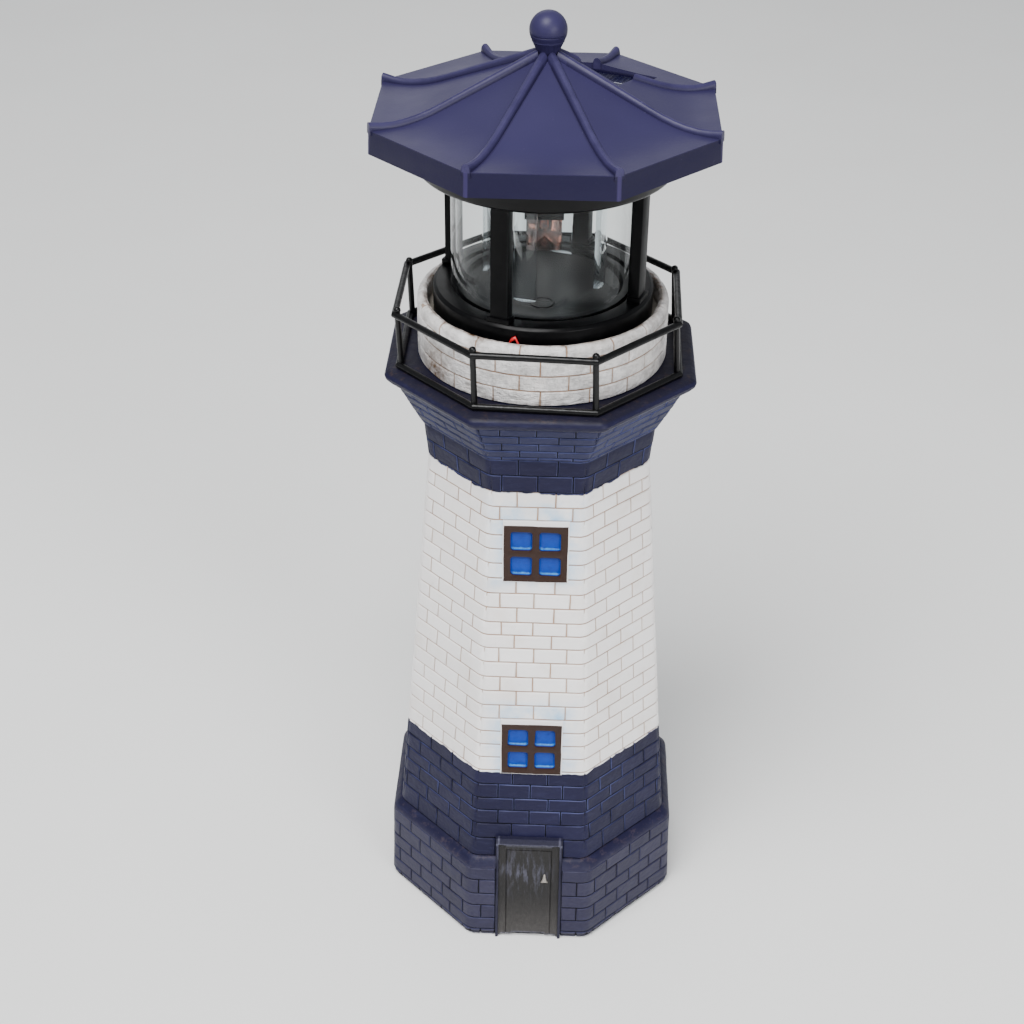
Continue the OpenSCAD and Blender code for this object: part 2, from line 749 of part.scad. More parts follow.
// Conical spring: an unbroken wire that closes up towards the cell
spring_turns = 3;
spring_wire = 0.2;
spring_wide = 4.6;
spring_narrow = 2.4;
spring_path = [
  for (k = [0:8 * spring_turns])
    let (s = k / 8 / spring_turns, r = spring_wide + (spring_narrow - spring_wide) * s)
    [
      minus_x + spring_wire + (spring_l - 2 * spring_wire) * s,
      r * cos(360 * spring_turns * s),
      cell_z + r * sin(360 * spring_turns * s)
    ]
];
spring_gap = min([
  for (i = [0:len(spring_path) - 1]) for (j = [i + 6:1:len(spring_path) - 1])
    norm(spring_path[i] - spring_path[j])
]) - 2 * spring_wire;
echo(spring_gap = spring_gap);
module battery_spring() color("silver") swept_tube(spring_path, spring_wire, 6);

module switch_body() color("silver") translate([switch_at[0], switch_at[1], drum_floor_z]) difference() {
  translate([-switch_size[0] / 2, -switch_size[1] / 2, 0]) cube(switch_size);
  cavity = [switch_nub[0] + switch_travel + 0.8, switch_nub[1] + 0.6, 2.4];
  translate([-cavity[0] / 2, -cavity[1] / 2, -1]) cube([cavity[0], cavity[1], cavity[2] + 1]);
}

module switch_slider() color("black")
  translate([switch_at[0] - switch_travel / 2, switch_at[1], drum_z - switch_proud])
    translate([-switch_nub[0] / 2, -switch_nub[1] / 2, 0])
      cube([switch_nub[0], switch_nub[1], switch_proud + drum_floor + 2]);

// ---------------------------------------------------------------- ceiling bowl and gear bridge

roof_screw_az = [22.5, 112.5, 202.5, 292.5];
roof_screw_r = ring_r - ring_wall - 3.6;
roof_boss_r = 2.9;
bowl_r = bowl_d / 2;
roof_boss_rise = 4;
roof_boss_z = bowl_floor_z + roof_boss_rise;
roof_screw_over = 0.5;              // length of a roof screw beyond the height of the bowl
roof_hole_l = 8;

module ceiling_bowl() color("black") difference() {
  union() {
    difference() {
      translate([0, 0, ceiling_z]) rotate_extrude() {
        square([bowl_r - 2, bowl_h]);
        translate([0, 2]) square([bowl_r, bowl_h - 2]);
        translate([bowl_r - 2, 2]) circle(r = 2);
      }
      translate([0, 0, bowl_floor_z]) cylinder(r = bowl_r - 2, h = bowl_h);
    }
    for (az = pillar_az) at_azimuth(az, pillar_r) translate([0, 0, bowl_floor_z - 0.5])
      cylinder(d = pillar_d, h = bridge_z - bowl_floor_z + 0.5);
    for (az = roof_screw_az) at_azimuth(az, roof_screw_r) translate([0, 0, bowl_floor_z - 0.5])
      cylinder(r = roof_boss_r, h = roof_boss_z - bowl_floor_z + 0.5);
    at_azimuth(idler_az, idler_r) translate([0, 0, bowl_floor_z - 0.5])
      cylinder(r = 2.2, h = small_gear_z - bowl_floor_z + 0.5 - face_gap);
  }
  translate([0, 0, ceiling_z - 1]) cylinder(r = ceiling_hole_r, h = bowl_floor + 2);
  translate([0, 0, ceiling_z - 1]) difference() {
    cylinder(r = glass_r + seat_gap, h = 1 + ceiling_groove);
    translate([0, 0, -1]) cylinder(r = glass_in_r - seat_gap, h = 3 + ceiling_groove);
  }
  for (az = post_az) at_azimuth(az, post_r) {
    translate([0, 0, ceiling_z - 1]) post_block(1 + post_socket, seat_gap / 2);
    translate([0, 0, ceiling_z - 1]) wire_slot(6);
  }
  for (az = roof_screw_az) at_azimuth(az, roof_screw_r)
    translate([0, 0, ceiling_z + screw_head_h]) screw_hole(bowl_h);
  for (az = pillar_az) at_azimuth(az, pillar_r) translate([0, 0, bridge_z - bridge_screw_bite - 1])
    cylinder(r = screw_r + screw_gap, h = bridge_screw_bite + 2);
  at_azimuth(idler_az, idler_r) translate([0, 0, bowl_floor_z - 1])
    cylinder(d = idler_pin_d + 2 * screw_gap, h = small_gear_z - bowl_floor_z + 2);
}

module gear_bridge() color("gray") difference() {
  translate([0, 0, bridge_z]) cylinder(r = bridge_r, h = bridge_t);
  translate([0, 0, bridge_z - 1]) {
    cylinder(r = spindle_r + screw_gap, h = bridge_t + 2);
    for (az = pillar_az) at_azimuth(az, pillar_r) cylinder(r = screw_r + screw_gap, h = bridge_t + 2);
    at_azimuth(idler_az, idler_r) cylinder(d = idler_pin_d + 2 * screw_gap, h = bridge_t + 2);
    at_azimuth(motor_az, motor_r) cylinder(r = motor_boss_r + screw_gap, h = bridge_t + 2);
    for (az = bridge_hole_az) at_azimuth(az, bridge_hole_at) cylinder(r = bridge_hole_r, h = bridge_t + 2);
  }
}

module bridge_screws() color("silver") for (az = pillar_az) at_azimuth(az, pillar_r)
  translate([0, 0, bridge_top_z]) mirror([0, 0, 1]) difference() {
    screw(bridge_t + bridge_screw_bite);
    translate([0, 0, -screw_head_h - 0.1]) cross_slot();
  }

module idler_pin() color("silver") at_azimuth(idler_az, idler_r)
  translate([0, 0, bowl_floor_z - 0.8]) cylinder(d = idler_pin_d, h = bridge_top_z - bowl_floor_z + 0.6);

module idler_gear() color("ivory") translate([idler_place[0], idler_place[1], 0]) difference() {
  union() {
    translate([0, 0, small_gear_z]) rotate([0, 0, carrier_to_idler + 180 + 180 / idler_small])
      gear(idler_small, small_gear_t);
    translate([0, 0, small_gear_z + small_gear_t - 0.1]) cylinder(r = idler_small_r, h = 0.4);
    translate([0, 0, large_gear_z]) rotate([0, 0, idler_to_motor]) gear(idler_large, large_gear_t);
  }
  translate([0, 0, small_gear_z - 1]) cylinder(d = idler_pin_d + 2 * run_gap, h = 10);
  translate([0, 0, large_gear_z]) for (turn = [0:60:300])
    rotate([0, 0, turn]) translate([6.3, 0, -1]) cylinder(r = 1.8, h = 5);
}

module motor_can() color("silver") at_azimuth(motor_az, motor_r) difference() {
  union() {
    translate([0, 0, bridge_top_z]) cylinder(d = motor_d, h = motor_h - 1.6);
    translate([0, 0, bridge_z + 0.3]) cylinder(r = motor_boss_r, h = bridge_t);
  }
  translate([0, 0, bridge_z - 1]) cylinder(d = motor_shaft_d + 2 * run_gap, h = motor_h - 2);
}

module motor_cap() color("white") at_azimuth(motor_az, motor_r)
  translate([0, 0, bridge_top_z + motor_h - 1.6]) {
    cylinder(d = motor_d - 0.6, h = 1);
    cylinder(d = motor_d * 0.4, h = 1.6);
  }

module motor_shaft() color("silver") at_azimuth(motor_az, motor_r)
  translate([0, 0, pinion_z - 0.3]) cylinder(d = motor_shaft_d, h = bridge_top_z - pinion_z + motor_h - 5);

module motor_pinion() color("gold") translate([motor_place[0], motor_place[1], pinion_z]) difference() {
  rotate([0, 0, idler_to_motor + 180 + 180 / pinion_teeth]) gear(pinion_teeth, pinion_t);
  translate([0, 0, -1]) cylinder(d = motor_shaft_d, h = 10);
}

// ---------------------------------------------------------------- turning lens

module carrier_gear() color("ivory") difference() {
  union() {
    translate([0, 0, carrier_gear_z]) rotate([0, 0, carrier_to_idler]) gear(carrier_teeth, carrier_gear_t);
    translate([0, 0, disc_z]) cylinder(r = carrier_hub_r, h = bridge_z - face_gap - disc_z);
  }
  translate([0, 0, disc_z - 1]) cylinder(r = spindle_r + run_gap, h = bridge_z - disc_z + 2);
  translate([0, 0, carrier_gear_z - 1]) for (turn = [0:60:300])
    rotate([0, 0, turn]) translate([carrier_hole_at, 0, 0])
      cylinder(r = carrier_hole_r, h = carrier_gear_t + 2);
}

lens_foot_z = base_z - dish_depth + lens_foot_gap;

// One upright lens bar, flat towards the lamp and bulging outwards
module lens_bar() translate([0, 0, lens_foot_z]) linear_extrude(disc_z - lens_foot_z + 0.5) intersection() {
  translate([-lens_w / 2, -lens_r - lens_t / 2]) square([lens_w, lens_t]);
  translate([0, -lens_r - lens_t / 2 + lens_w * 0.8]) circle(r = lens_w * 0.8);
}

module lens_carrier() color("lightcyan", 0.5) {
  difference() {
    translate([0, 0, disc_z]) cylinder(r = disc_r, h = disc_t);
    translate([0, 0, disc_z - 1]) cylinder(r = carrier_hub_r + 0.02, h = disc_t + 2);
    for (az = lens_az) at_azimuth(az + 45, disc_r * 0.6)
      translate([0, 0, disc_z - 1]) cylinder(r = 4, h = disc_t + 2);
  }
  for (az = lens_az) at_azimuth(az) lens_bar();
}

module spindle() color("goldenrod") difference() {
  union() {
    translate([0, 0, cap_z + cap_t]) cylinder(r = spindle_r, h = bridge_top_z - cap_z - cap_t + 0.1);
    translate([0, 0, bridge_top_z]) cylinder(r = spindle_r + 2.8, h = spindle_flange);
  }
  translate([0, 0, cap_z])
    cylinder(r = spindle_r - spindle_wall, h = bridge_top_z - cap_z + 2 * spindle_flange);
}

module led_holder() color("black") difference() {
  union() {
    translate([0, 0, cap_z + cap_t - 0.5]) cylinder(r = holder_r, h = holder_top_z - cap_z - cap_t + 0.5);
    translate([-block_side / 2 - 0.6, -block_side / 2 - 0.6, cap_z])
      cube([block_side + 1.2, block_side + 1.2, cap_t]);
  }
  translate([0, 0, cap_z + cap_t]) cylinder(r = spindle_r + screw_gap, h = 30);
  translate([-block_side / 2 - screw_gap, -block_side / 2 - screw_gap, cap_z - 1])
    cube([block_side + 2 * screw_gap, block_side + 2 * screw_gap, block_top_z - cap_z + 1]);
  translate([0, 0, cap_z]) cylinder(r = 1.2, h = 20);
}

module led() color("white", 0.8) translate([0, 0, block_top_z]) {
  translate([0, 0, -1]) cylinder(r = led_rim_r, h = 1);
  translate([0, 0, -led_l + led_r]) cylinder(r = led_r, h = led_l - led_r - 0.9);
  translate([0, 0, -led_l + led_r]) sphere(r = led_r);
  for (x = [-0.6, 0.6]) translate([x, 0, -0.1]) cylinder(r = 0.25, h = 8);
}

module light_block() color("azure", 0.4) translate([0, 0, block_z]) difference() {
  intersection() {
    translate([-block_side / 2, -block_side / 2, 0]) cube([block_side, block_side, block_h]);
    rotate([0, 0, 45]) translate([-block_side * 0.65, -block_side * 0.65, 0])
      cube([block_side * 1.3, block_side * 1.3, block_h]);
  }
  translate([0, 0, -0.01]) cylinder(r1 = block_side * 0.36, r2 = 0, h = 4);
  translate([0, 0, block_h - led_l + led_r]) sphere(r = led_r + screw_gap);
  translate([0, 0, block_h - led_l + led_r]) cylinder(r = led_r + screw_gap, h = led_l);
  translate([0, 0, block_h - 1 - screw_gap]) cylinder(r = led_rim_r + screw_gap, h = 2);
}

// ---------------------------------------------------------------- circuit board

module on_board(z) along_panel() translate([board_at[0], board_at[1], z]) children();

module circuit_board() color("darkgreen") {
  on_board(board_z) translate([-board_size[0] / 2, -board_size[1] / 2, 0]) cube(board_size);
  on_board(bridge_top_z) for (y = [-1, 1]) translate([0, y * board_size[1] * 0.3, 0])
    cylinder(r = 1.5, h = board_z - bridge_top_z + 0.5);
}

module board_chip() color("dimgray") on_board(board_z + board_size[2])
  translate([-4, -7, 0]) cube([5, 4, 1.5]);

module board_coil() color("darkorange") on_board(board_z + board_size[2]) translate([1.5, 2.5, 0]) {
  cylinder(r = 2.6, h = 0.6);
  cylinder(r = 1.8, h = 3);
  translate([0, 0, 2.4]) cylinder(r = 2.6, h = 0.6);
}

// ---------------------------------------------------------------- roof

// Height of the roof's skin above the eave, at a distance from the axis along a corner
function roof_lift(c) =
  c >= flare_end ? 0 :
  c >= flare_start ? roof_slope * (flare_end - c) ^ 2 / (2 * flare_w) :
  roof_slope * (flare_w / 2 + flare_start - c);

flare_steps = 5;
function roof_corners() = concat(
  [for (k = [0:flare_steps]) flare_end - flare_w * k / flare_steps],
  [apex_corner]
);

// Outside of the roof, or its inside when inset and lowered by the wall
module roof_form(inset, drop, foot_z) octagon_loft(concat(
  [[foot_z, eave_r + 0.3 - inset, 1.4], [eave_z - drop, eave_r - inset, 1.4]],
  [for (c = roof_corners()) [eave_z + roof_lift(c) - drop, c / corner_k, min(1.4, c / 4)]]
), 2);

// Rounded rib over one hip, with a tip that lifts at the eave
module roof_rib() {
  start = neck_r + 0.05;
  tip = eave_corner - 0.2;
  count = 14;
  arc = [for (a = [0:30:180]) [rib_w / 2 * cos(a), rib_h * sin(a)]];
  section = concat([[-rib_w / 2, -1.2], [rib_w / 2, -1.2]], arc);
  n = len(section);
  points = [
    for (k = [0:count]) let (
      c = start + (tip - start) * k / count,
      lift = tip_rise * max(0, (c - (tip - 9)) / 9) ^ 2,
      z = eave_z + roof_lift(c) + lift
    )
    for (p = section) [p[0], -c, z + p[1] - (p[1] < 0 ? lift : 0)]
  ];
  foot = [[for (i = [0:n - 1]) i]];
  end = [[for (i = [n - 1:-1:0]) count * n + i]];
  walls = [
    for (k = [0:count - 1]) for (i = [0:n - 1]) for (half = [0, 1])
      let (a = k * n + i, b = k * n + (i + 1) % n)
      half == 0 ? [a, b + n, b] : [a, a + n, b + n]
  ];
  polyhedron(points = points, faces = concat(foot, walls, end));
}

module solar_tray() along_panel() translate([pocket_in - tray_wall, -pocket_w / 2 - tray_wall, tray_z])
  cube([pocket_l + 2 * tray_wall, pocket_w + 2 * tray_wall, apex_z - tray_z]);

module solar_pocket() along_panel() translate([pocket_in, -pocket_w / 2, panel_z])
  cube([pocket_l, pocket_w, apex_z - panel_z]);

module roof_shell() color("midnightblue") difference() {
  union() {
    difference() {
      roof_form(0, 0, fascia_z);
      roof_form(roof_wall, roof_wall, fascia_z - 1);
    }
    intersection() {
      roof_form(0, 0, fascia_z);
      union() {
        solar_tray();
        translate([0, 0, bowl_top_z]) difference() {
          cylinder(r = ring_r, h = 40);
          translate([0, 0, -1]) cylinder(r = ring_r - ring_wall, h = 42);
        }
        for (az = roof_screw_az) at_azimuth(az, roof_screw_r) translate([0, 0, roof_boss_z])
          cylinder(r = roof_boss_r, h = 40);
        translate([0, 0, apex_z - finial_peg_l - 3]) cylinder(r = finial_peg_r + 1.6, h = 20);
      }
    }
    for (az = roof_screw_az) at_azimuth(az, roof_screw_r) translate([0, 0, roof_boss_z])
      cylinder(r = roof_boss_r, h = eave_z - roof_boss_z);
    for (side = [0:7]) rotate([0, 0, side * 45 + 22.5]) roof_rib();
  }
  solar_pocket();
  for (az = roof_screw_az) at_azimuth(az, roof_screw_r) translate([0, 0, roof_boss_z - 1])
    cylinder(r = screw_r + screw_gap, h = roof_hole_l + 1);
  translate([0, 0, apex_z - finial_peg_l]) cylinder(r = finial_peg_r, h = 30);
}

module roof_screws() color("silver") for (az = roof_screw_az) at_azimuth(az, roof_screw_r)
  translate([0, 0, ceiling_z + screw_head_h]) difference() {
    screw(bowl_h + roof_screw_over);
    translate([0, 0, -screw_head_h - 0.1]) cross_slot();
  }

ball_r = ball_d / 2;
neck_h = 2.4;
cone_h = 3.2;
ball_z = apex_z + neck_h + cone_h + ball_r * 0.48;

module finial() color("midnightblue") {
  translate([0, 0, apex_z - finial_peg_l + 0.3]) cylinder(r = finial_peg_r, h = finial_peg_l);
  translate([0, 0, apex_z]) cylinder(r = neck_r, h = neck_h);
  translate([0, 0, apex_z + neck_h]) cylinder(r1 = neck_r, r2 = ball_r * 0.9, h = cone_h);
  translate([0, 0, ball_z]) sphere(r = ball_r);
}

module panel_slab(z, t, inset = 0) along_panel()
  translate([pocket_in + pocket_gap + inset, -panel_w / 2 + inset, z])
    cube([panel_l - 2 * inset, panel_w - 2 * inset, t]);

module solar_panel() color("darkgreen") panel_slab(panel_z, panel_t - cells_t);
module solar_cells() color("black") panel_slab(panel_top_z - cells_t, cells_t);

// ---------------------------------------------------------------- red lead

post_line = place(post_az[0], post_r);
hole_in = place(lead_hole_az, drum_r - 3);
hole_out = place(lead_hole_az, drum_r + 0.8);
lead_points = [
  [25.2, -3, cell_z + cell_r + 0.1], [25, -6, cell_z + cell_r + 3], [19, -13, base_under_z - 8],
  [10, -21, base_under_z - 4], [1.4, -26.4, base_under_z - 2.8],
  [hole_in[0], hole_in[1], base_under_z - lead_hole_drop],
  [hole_out[0], hole_out[1], base_under_z - lead_hole_drop],
  [-4.2, -35.2, base_under_z - 3.6], [-5.4, -36.9, seat_z + 1.9],
  [-6.8, -38.4, seat_z + 2.8], [-8.1, -38.2, seat_z + 3.8], [-9.4, -37.7, seat_z + 2.6],
  [-10.6, -35.7, seat_z + 1.9], [-11.8, -33.4, seat_z + 3.2],
  [post_line[0], post_line[1], base_under_z - 0.5], [post_line[0], post_line[1], base_z + 10],
  [post_line[0], post_line[1], ceiling_z - 6], [post_line[0], post_line[1], bowl_floor_z + 1],
  [-14.6, -33.4, bowl_floor_z + 4], [-19.4, -33, bridge_z + 0.6], [-24.6, -28.9, bridge_top_z + 2.2],
  [-28.8, -21.4, bridge_top_z + 4.6], [-29, -13.6, bridge_top_z + 5.4],
  [-26.8, -9, bridge_top_z + 4.8], [-26.2, -8, board_z + board_size[2]]
];
module red_lead() color("red") swept_tube(smooth_path(lead_points, 3), lead_r, 8);

// ---------------------------------------------------------------- build

tower_casting();
rail_top();
rail_bottom();
rail_posts();
lantern_base();
post_1();
post_2();
post_3();
post_4();
lantern_glass();
ceiling_bowl();
battery_housing();
housing_screws();
battery_cell();
positive_contact();
negative_contact();
battery_spring();
switch_body();
switch_slider();
battery_door();
door_screw();
gear_bridge();
bridge_screws();
idler_pin();
idler_gear();
motor_can();
motor_cap();
motor_shaft();
motor_pinion();
spindle();
carrier_gear();
lens_carrier();
led_holder();
led();
light_block();
circuit_board();
board_chip();
board_coil();
roof_shell();
roof_screws();
finial();
solar_panel();
solar_cells();
red_lead();
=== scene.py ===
"""Garden lighthouse lamp: its looks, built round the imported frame. Metres, the door faces -Y."""

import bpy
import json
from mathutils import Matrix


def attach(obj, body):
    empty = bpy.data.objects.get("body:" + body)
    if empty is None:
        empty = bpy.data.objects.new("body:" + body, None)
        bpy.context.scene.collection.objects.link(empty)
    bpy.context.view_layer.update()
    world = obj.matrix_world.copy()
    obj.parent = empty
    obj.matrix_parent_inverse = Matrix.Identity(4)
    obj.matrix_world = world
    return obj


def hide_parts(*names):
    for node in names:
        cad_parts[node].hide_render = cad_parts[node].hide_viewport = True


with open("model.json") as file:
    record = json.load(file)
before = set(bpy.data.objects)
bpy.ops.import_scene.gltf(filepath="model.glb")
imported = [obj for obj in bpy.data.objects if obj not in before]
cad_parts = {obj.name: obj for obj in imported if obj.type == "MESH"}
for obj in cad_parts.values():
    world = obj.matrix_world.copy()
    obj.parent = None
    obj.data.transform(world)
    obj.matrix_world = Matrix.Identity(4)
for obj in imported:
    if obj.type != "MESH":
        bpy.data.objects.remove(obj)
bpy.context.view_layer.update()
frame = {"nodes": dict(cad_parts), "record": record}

import json
import random
from math import asin, atan, atan2, ceil, copysign, cos, degrees, exp, hypot, pi, radians, sin, tan

import bmesh
import bpy
from mathutils import Vector, noise

MM = 0.001
EIGHTH = pi / 4
FLAT_SHARE = tan(pi / 8)
SCENE = bpy.context.scene

# ---- sizes and levels, in millimetres

# Stations of the casting: height, distance to a flat, corner rounding
STATIONS = [
    (0, 55.4, 6), (1.8, 57, 6), (8, 56.8, 6), (30, 56.2, 6), (35.6, 56, 6), (37, 55.6, 6), (38, 54.8, 6),
    (39.2, 53.7, 6), (40, 52.7, 6), (200.5, 39.6, 6), (214.1, 41, 5.5), (214.5, 41.5, 5.5),
    (218.217, 43.43, 5.3), (221.935, 45.24, 5.1), (225.652, 47.04, 4.9), (229.37, 48.78, 4.7),
    (231.6, 49.7, 4.5), (232.68, 52.18, 4.5), (234.03, 53.4, 4.5), (235.11, 53.7, 4.5), (236.19, 53.2, 4.3),
    (237, 51.7, 4),
]
LEDGE_FOOT = 36.2
SHAFT_FOOT = 40.0
SHAFT_FLAT = 52.7
LEAN = atan((SHAFT_FLAT - 39.6) / 160.5)
CORBEL_TOP = 231.6
DECK = 237.0
PARAPET_TOP = 258.5
PARAPET_R = 43.7
PARAPET_ROUND = 2.2
KNEE = PARAPET_TOP - PARAPET_ROUND
RIM_INNER = 41.0
WELL_R = 40.0
SEAT_LEVEL = 252.0
THROAT_R = 33.2
CAVITY_R = 49.5

LOWER_WINDOW = 92.0
UPPER_WINDOW = 176.4
WINDOWS = (UPPER_WINDOW, LOWER_WINDOW)
WINDOW_SEAT = 11.5
WINDOW_HALF = 10.9
# First and last course line beside each window
WINDOW_COURSES = ((165.7, 189.3), (81.3, 105.1))
DOOR_HALF = 12.9
DOOR_TOP = 50.0
DOOR_PROUD = 1.7
DOOR_FRONT = -57.2

JOINT_DEPTH = 0.5
BRICK_GAP = 0.5
BRICK_EASE = 0.32
BRICK_ROOT = 0.15
BRICK_HEIGHT = JOINT_DEPTH + BRICK_ROOT
HAIR = 0.05
# Course lines. A course with an odd number has a joint in the middle of each side
COURSES = [
    0, 3.8, 9.7, 16.6, 22.8, 30.1, LEDGE_FOOT,
    SHAFT_FOOT, 48.7, 55.8, 62.3, 68.1, 74.7, 81.3, 87.3, 93.2, 99.2, 105.1, 111.1, 117.4, 123.6,
    130.1, 136.2, 141.8, 147.3, 153.4, 159.5, 165.7, 171.8, 177.6, 183.2, 189.3,
    194.5, 200.5, 207.6, 214.5, 216.3, 220.0, 223.9, 227.8, CORBEL_TOP,
]
JOINTS = ((-19.2, -6.6, 6.6, 19.2), (-12.3, 0.0, 12.3))
RIM_COURSES = [DECK, 242.6, 248.2, 254.1]
RIM_BRICKS = 17
RIM_SEED = 80

LENS_DISC = 301.0
CEILING = 305.0
SKIRT_FOOT = 316.0
EAVE = 322.5
EAVE_SEEN = 324.0
APEX = 341.3
ROOF_FLARE = 18.0
ROOF_FLARE_END = 56.0
ROOF_SLOPE = 0.437
FINIAL_NECK = 3.2
# The railing's corners pulled out of true: the shift in X and Y of foot and head, from the rear left on
RAIL_BENDS = [
    ((0.4, 0.0), (0.0, 0.4)), ((-0.3, 0.2), (-1.0, 0.3)), ((-0.6, 0.4), (-1.6, 0.2)),
    ((-1.6, 1.2), (-2.2, 0.8)), ((-0.5, -0.8), (-1.2, -1.4)), ((-0.4, -0.6), (-1.8, -1.4)),
    ((0.2, -0.3), (-1.0, -0.8)), ((0.3, 0.0), (-0.4, 0.0)),
]


# ---- materials: the tools


class Number:
    """A socket of a node tree. Reckoning with it adds Math nodes."""

    def __init__(self, nodes, socket):
        self.nodes = nodes
        self.socket = socket

    def math(self, operation, *values, clamp=False):
        settings = {"operation": operation, "use_clamp": clamp}
        return self.nodes.add("ShaderNodeMath", settings, dict(enumerate(values)))

    def __rsub__(self, other):
        return self.math("SUBTRACT", other, self)

    def __abs__(self):
        return self.math("ABSOLUTE", self)

    def clamped(self):
        return self.math("ADD", self, 0.0, clamp=True)

    def over(self, edge, softness):
        """0 well below the edge and 1 well above it, with a soft step between."""
        values = {"Value": self, "From Min": edge - softness, "From Max": edge + softness}
        return self.nodes.add("ShaderNodeMapRange", {"interpolation_type": "SMOOTHSTEP"}, values)

    def under(self, edge, softness):
        return 1 - self.over(edge, softness)

    def between(self, low, high, softness):
        return self.over(low, softness) * self.under(high, softness)


for sign, name in (("add", "ADD"), ("radd", "ADD"), ("sub", "SUBTRACT"), ("mul", "MULTIPLY"),
                   ("truediv", "DIVIDE"), ("pow", "POWER")):
    setattr(Number, f"__{sign}__", lambda self, other, name=name: self.math(name, self, other))


def paint(red, green, blue):
    """A colour from screen values of 0 to 255."""
    linear = [c / 255 / 12.92 if c < 11 else ((c / 255 + 0.055) / 1.055) ** 2.4 for c in (red, green, blue)]
    return (*linear, 1.0)


class Nodes:
    """A node tree in the making."""

    def add(self, kind, settings=None, sockets=None, output=0):
        """Adds a node: its settings first, then its sockets. Returns one of its outputs, or nothing."""
        node = self.tree.nodes.new(kind)
        for key, value in (settings or {}).items():
            setattr(node, key, value)
        for key, value in (sockets or {}).items():
            if isinstance(value, Number):
                self.tree.links.new(value.socket, node.inputs[key])
            else:
                node.inputs[key].default_value = value
        return None if output is None else Number(self, node.outputs[output])


class Finish(Nodes):
    """A material in the making."""

    def __init__(self, name):
        self.material = bpy.data.materials.new(name)
        self.material.use_nodes = True
        self.tree = self.material.node_tree
        self.tree.nodes.clear()
        self.place = self.add("ShaderNodeTexCoord", output="Object")
        self.xyz = [self.add("ShaderNodeSeparateXYZ", sockets={0: self.place}, output=axis) / MM
                    for axis in range(3)]

    def noise(self, size, detail=3.0, roughness=0.55, stretch=(1, 1, 1), shift=(0, 0, 0)):
        """Even noise from 0 to 1 whose spots are about size millimetres across, longer where stretched."""
        scale = tuple(1 / s for s in stretch)
        where = self.add("ShaderNodeMapping", None,
                         {"Vector": self.place, "Scale": scale, "Location": shift})
        values = {"Vector": where, "Scale": 1 / (size * MM), "Detail": detail, "Roughness": roughness}
        return self.add("ShaderNodeTexNoise", {"normalize": True}, values)

    def spots(self, size, gain, cut, detail=5, roughness=0.7, **more):
        """Noise raised by a gain and cut down, so that only its peaks stay."""
        return (self.noise(size, detail, roughness, **more) * gain - cut).clamped()

    def attribute(self, name):
        return self.add("ShaderNodeAttribute", {"attribute_name": name}, output="Fac")

    def mix(self, factor, *colours):
        """Blends two colours. Three numbers are screen values, four are the light itself."""
        a, b = (paint(*c) if isinstance(c, tuple) and len(c) == 3 else c for c in colours)
        settings = {"data_type": "RGBA", "clamp_factor": True}
        return self.add("ShaderNodeMix", settings, {0: factor, 6: a, 7: b}, output=2)

    def coated(self, colour, *coats):
        """Lays coats over a colour one by one, each a cover and a colour."""
        for cover, coat in coats:
            colour = self.mix(cover, colour, coat)
        return colour

    def near(self, point, radius, softness):
        """1 within a radius of a point in millimetres, 0 beyond it."""
        gap = self.add("ShaderNodeVectorMath", {"operation": "DISTANCE"},
                       {0: self.place, 1: tuple(c * MM for c in point)}, output="Value")
        return (gap / MM).under(radius, softness)

    def bump(self, height, depth, under=None):
        """A bump of a depth in millimetres, on top of another one."""
        values = {"Height": height, "Distance": depth * MM, "Strength": 1.0}
        if under is not None:
            values["Normal"] = under
        return self.add("ShaderNodeBump", sockets=values)

    def shader(self, colour, roughness, normal=None, **constants):
        values = {"Base Color": colour, "Roughness": roughness}
        if normal is not None:
            values["Normal"] = normal
        names = {"ior": "IOR", "specular": "Specular IOR Level"}
        values.update({names.get(key, key.replace("_", " ").title()): v for key, v in constants.items()})
        return self.add("ShaderNodeBsdfPrincipled", sockets=values)

    def finish_with(self, shader):
        self.add("ShaderNodeOutputMaterial", None, {"Surface": shader}, None)
        return self.material

    def surface(self, colour, roughness, normal=None, **constants):
        """Ends the material in a Principled shader and returns the material."""
        return self.finish_with(self.shader(colour, roughness, normal, **constants))


# ---- materials: this lamp's finishes


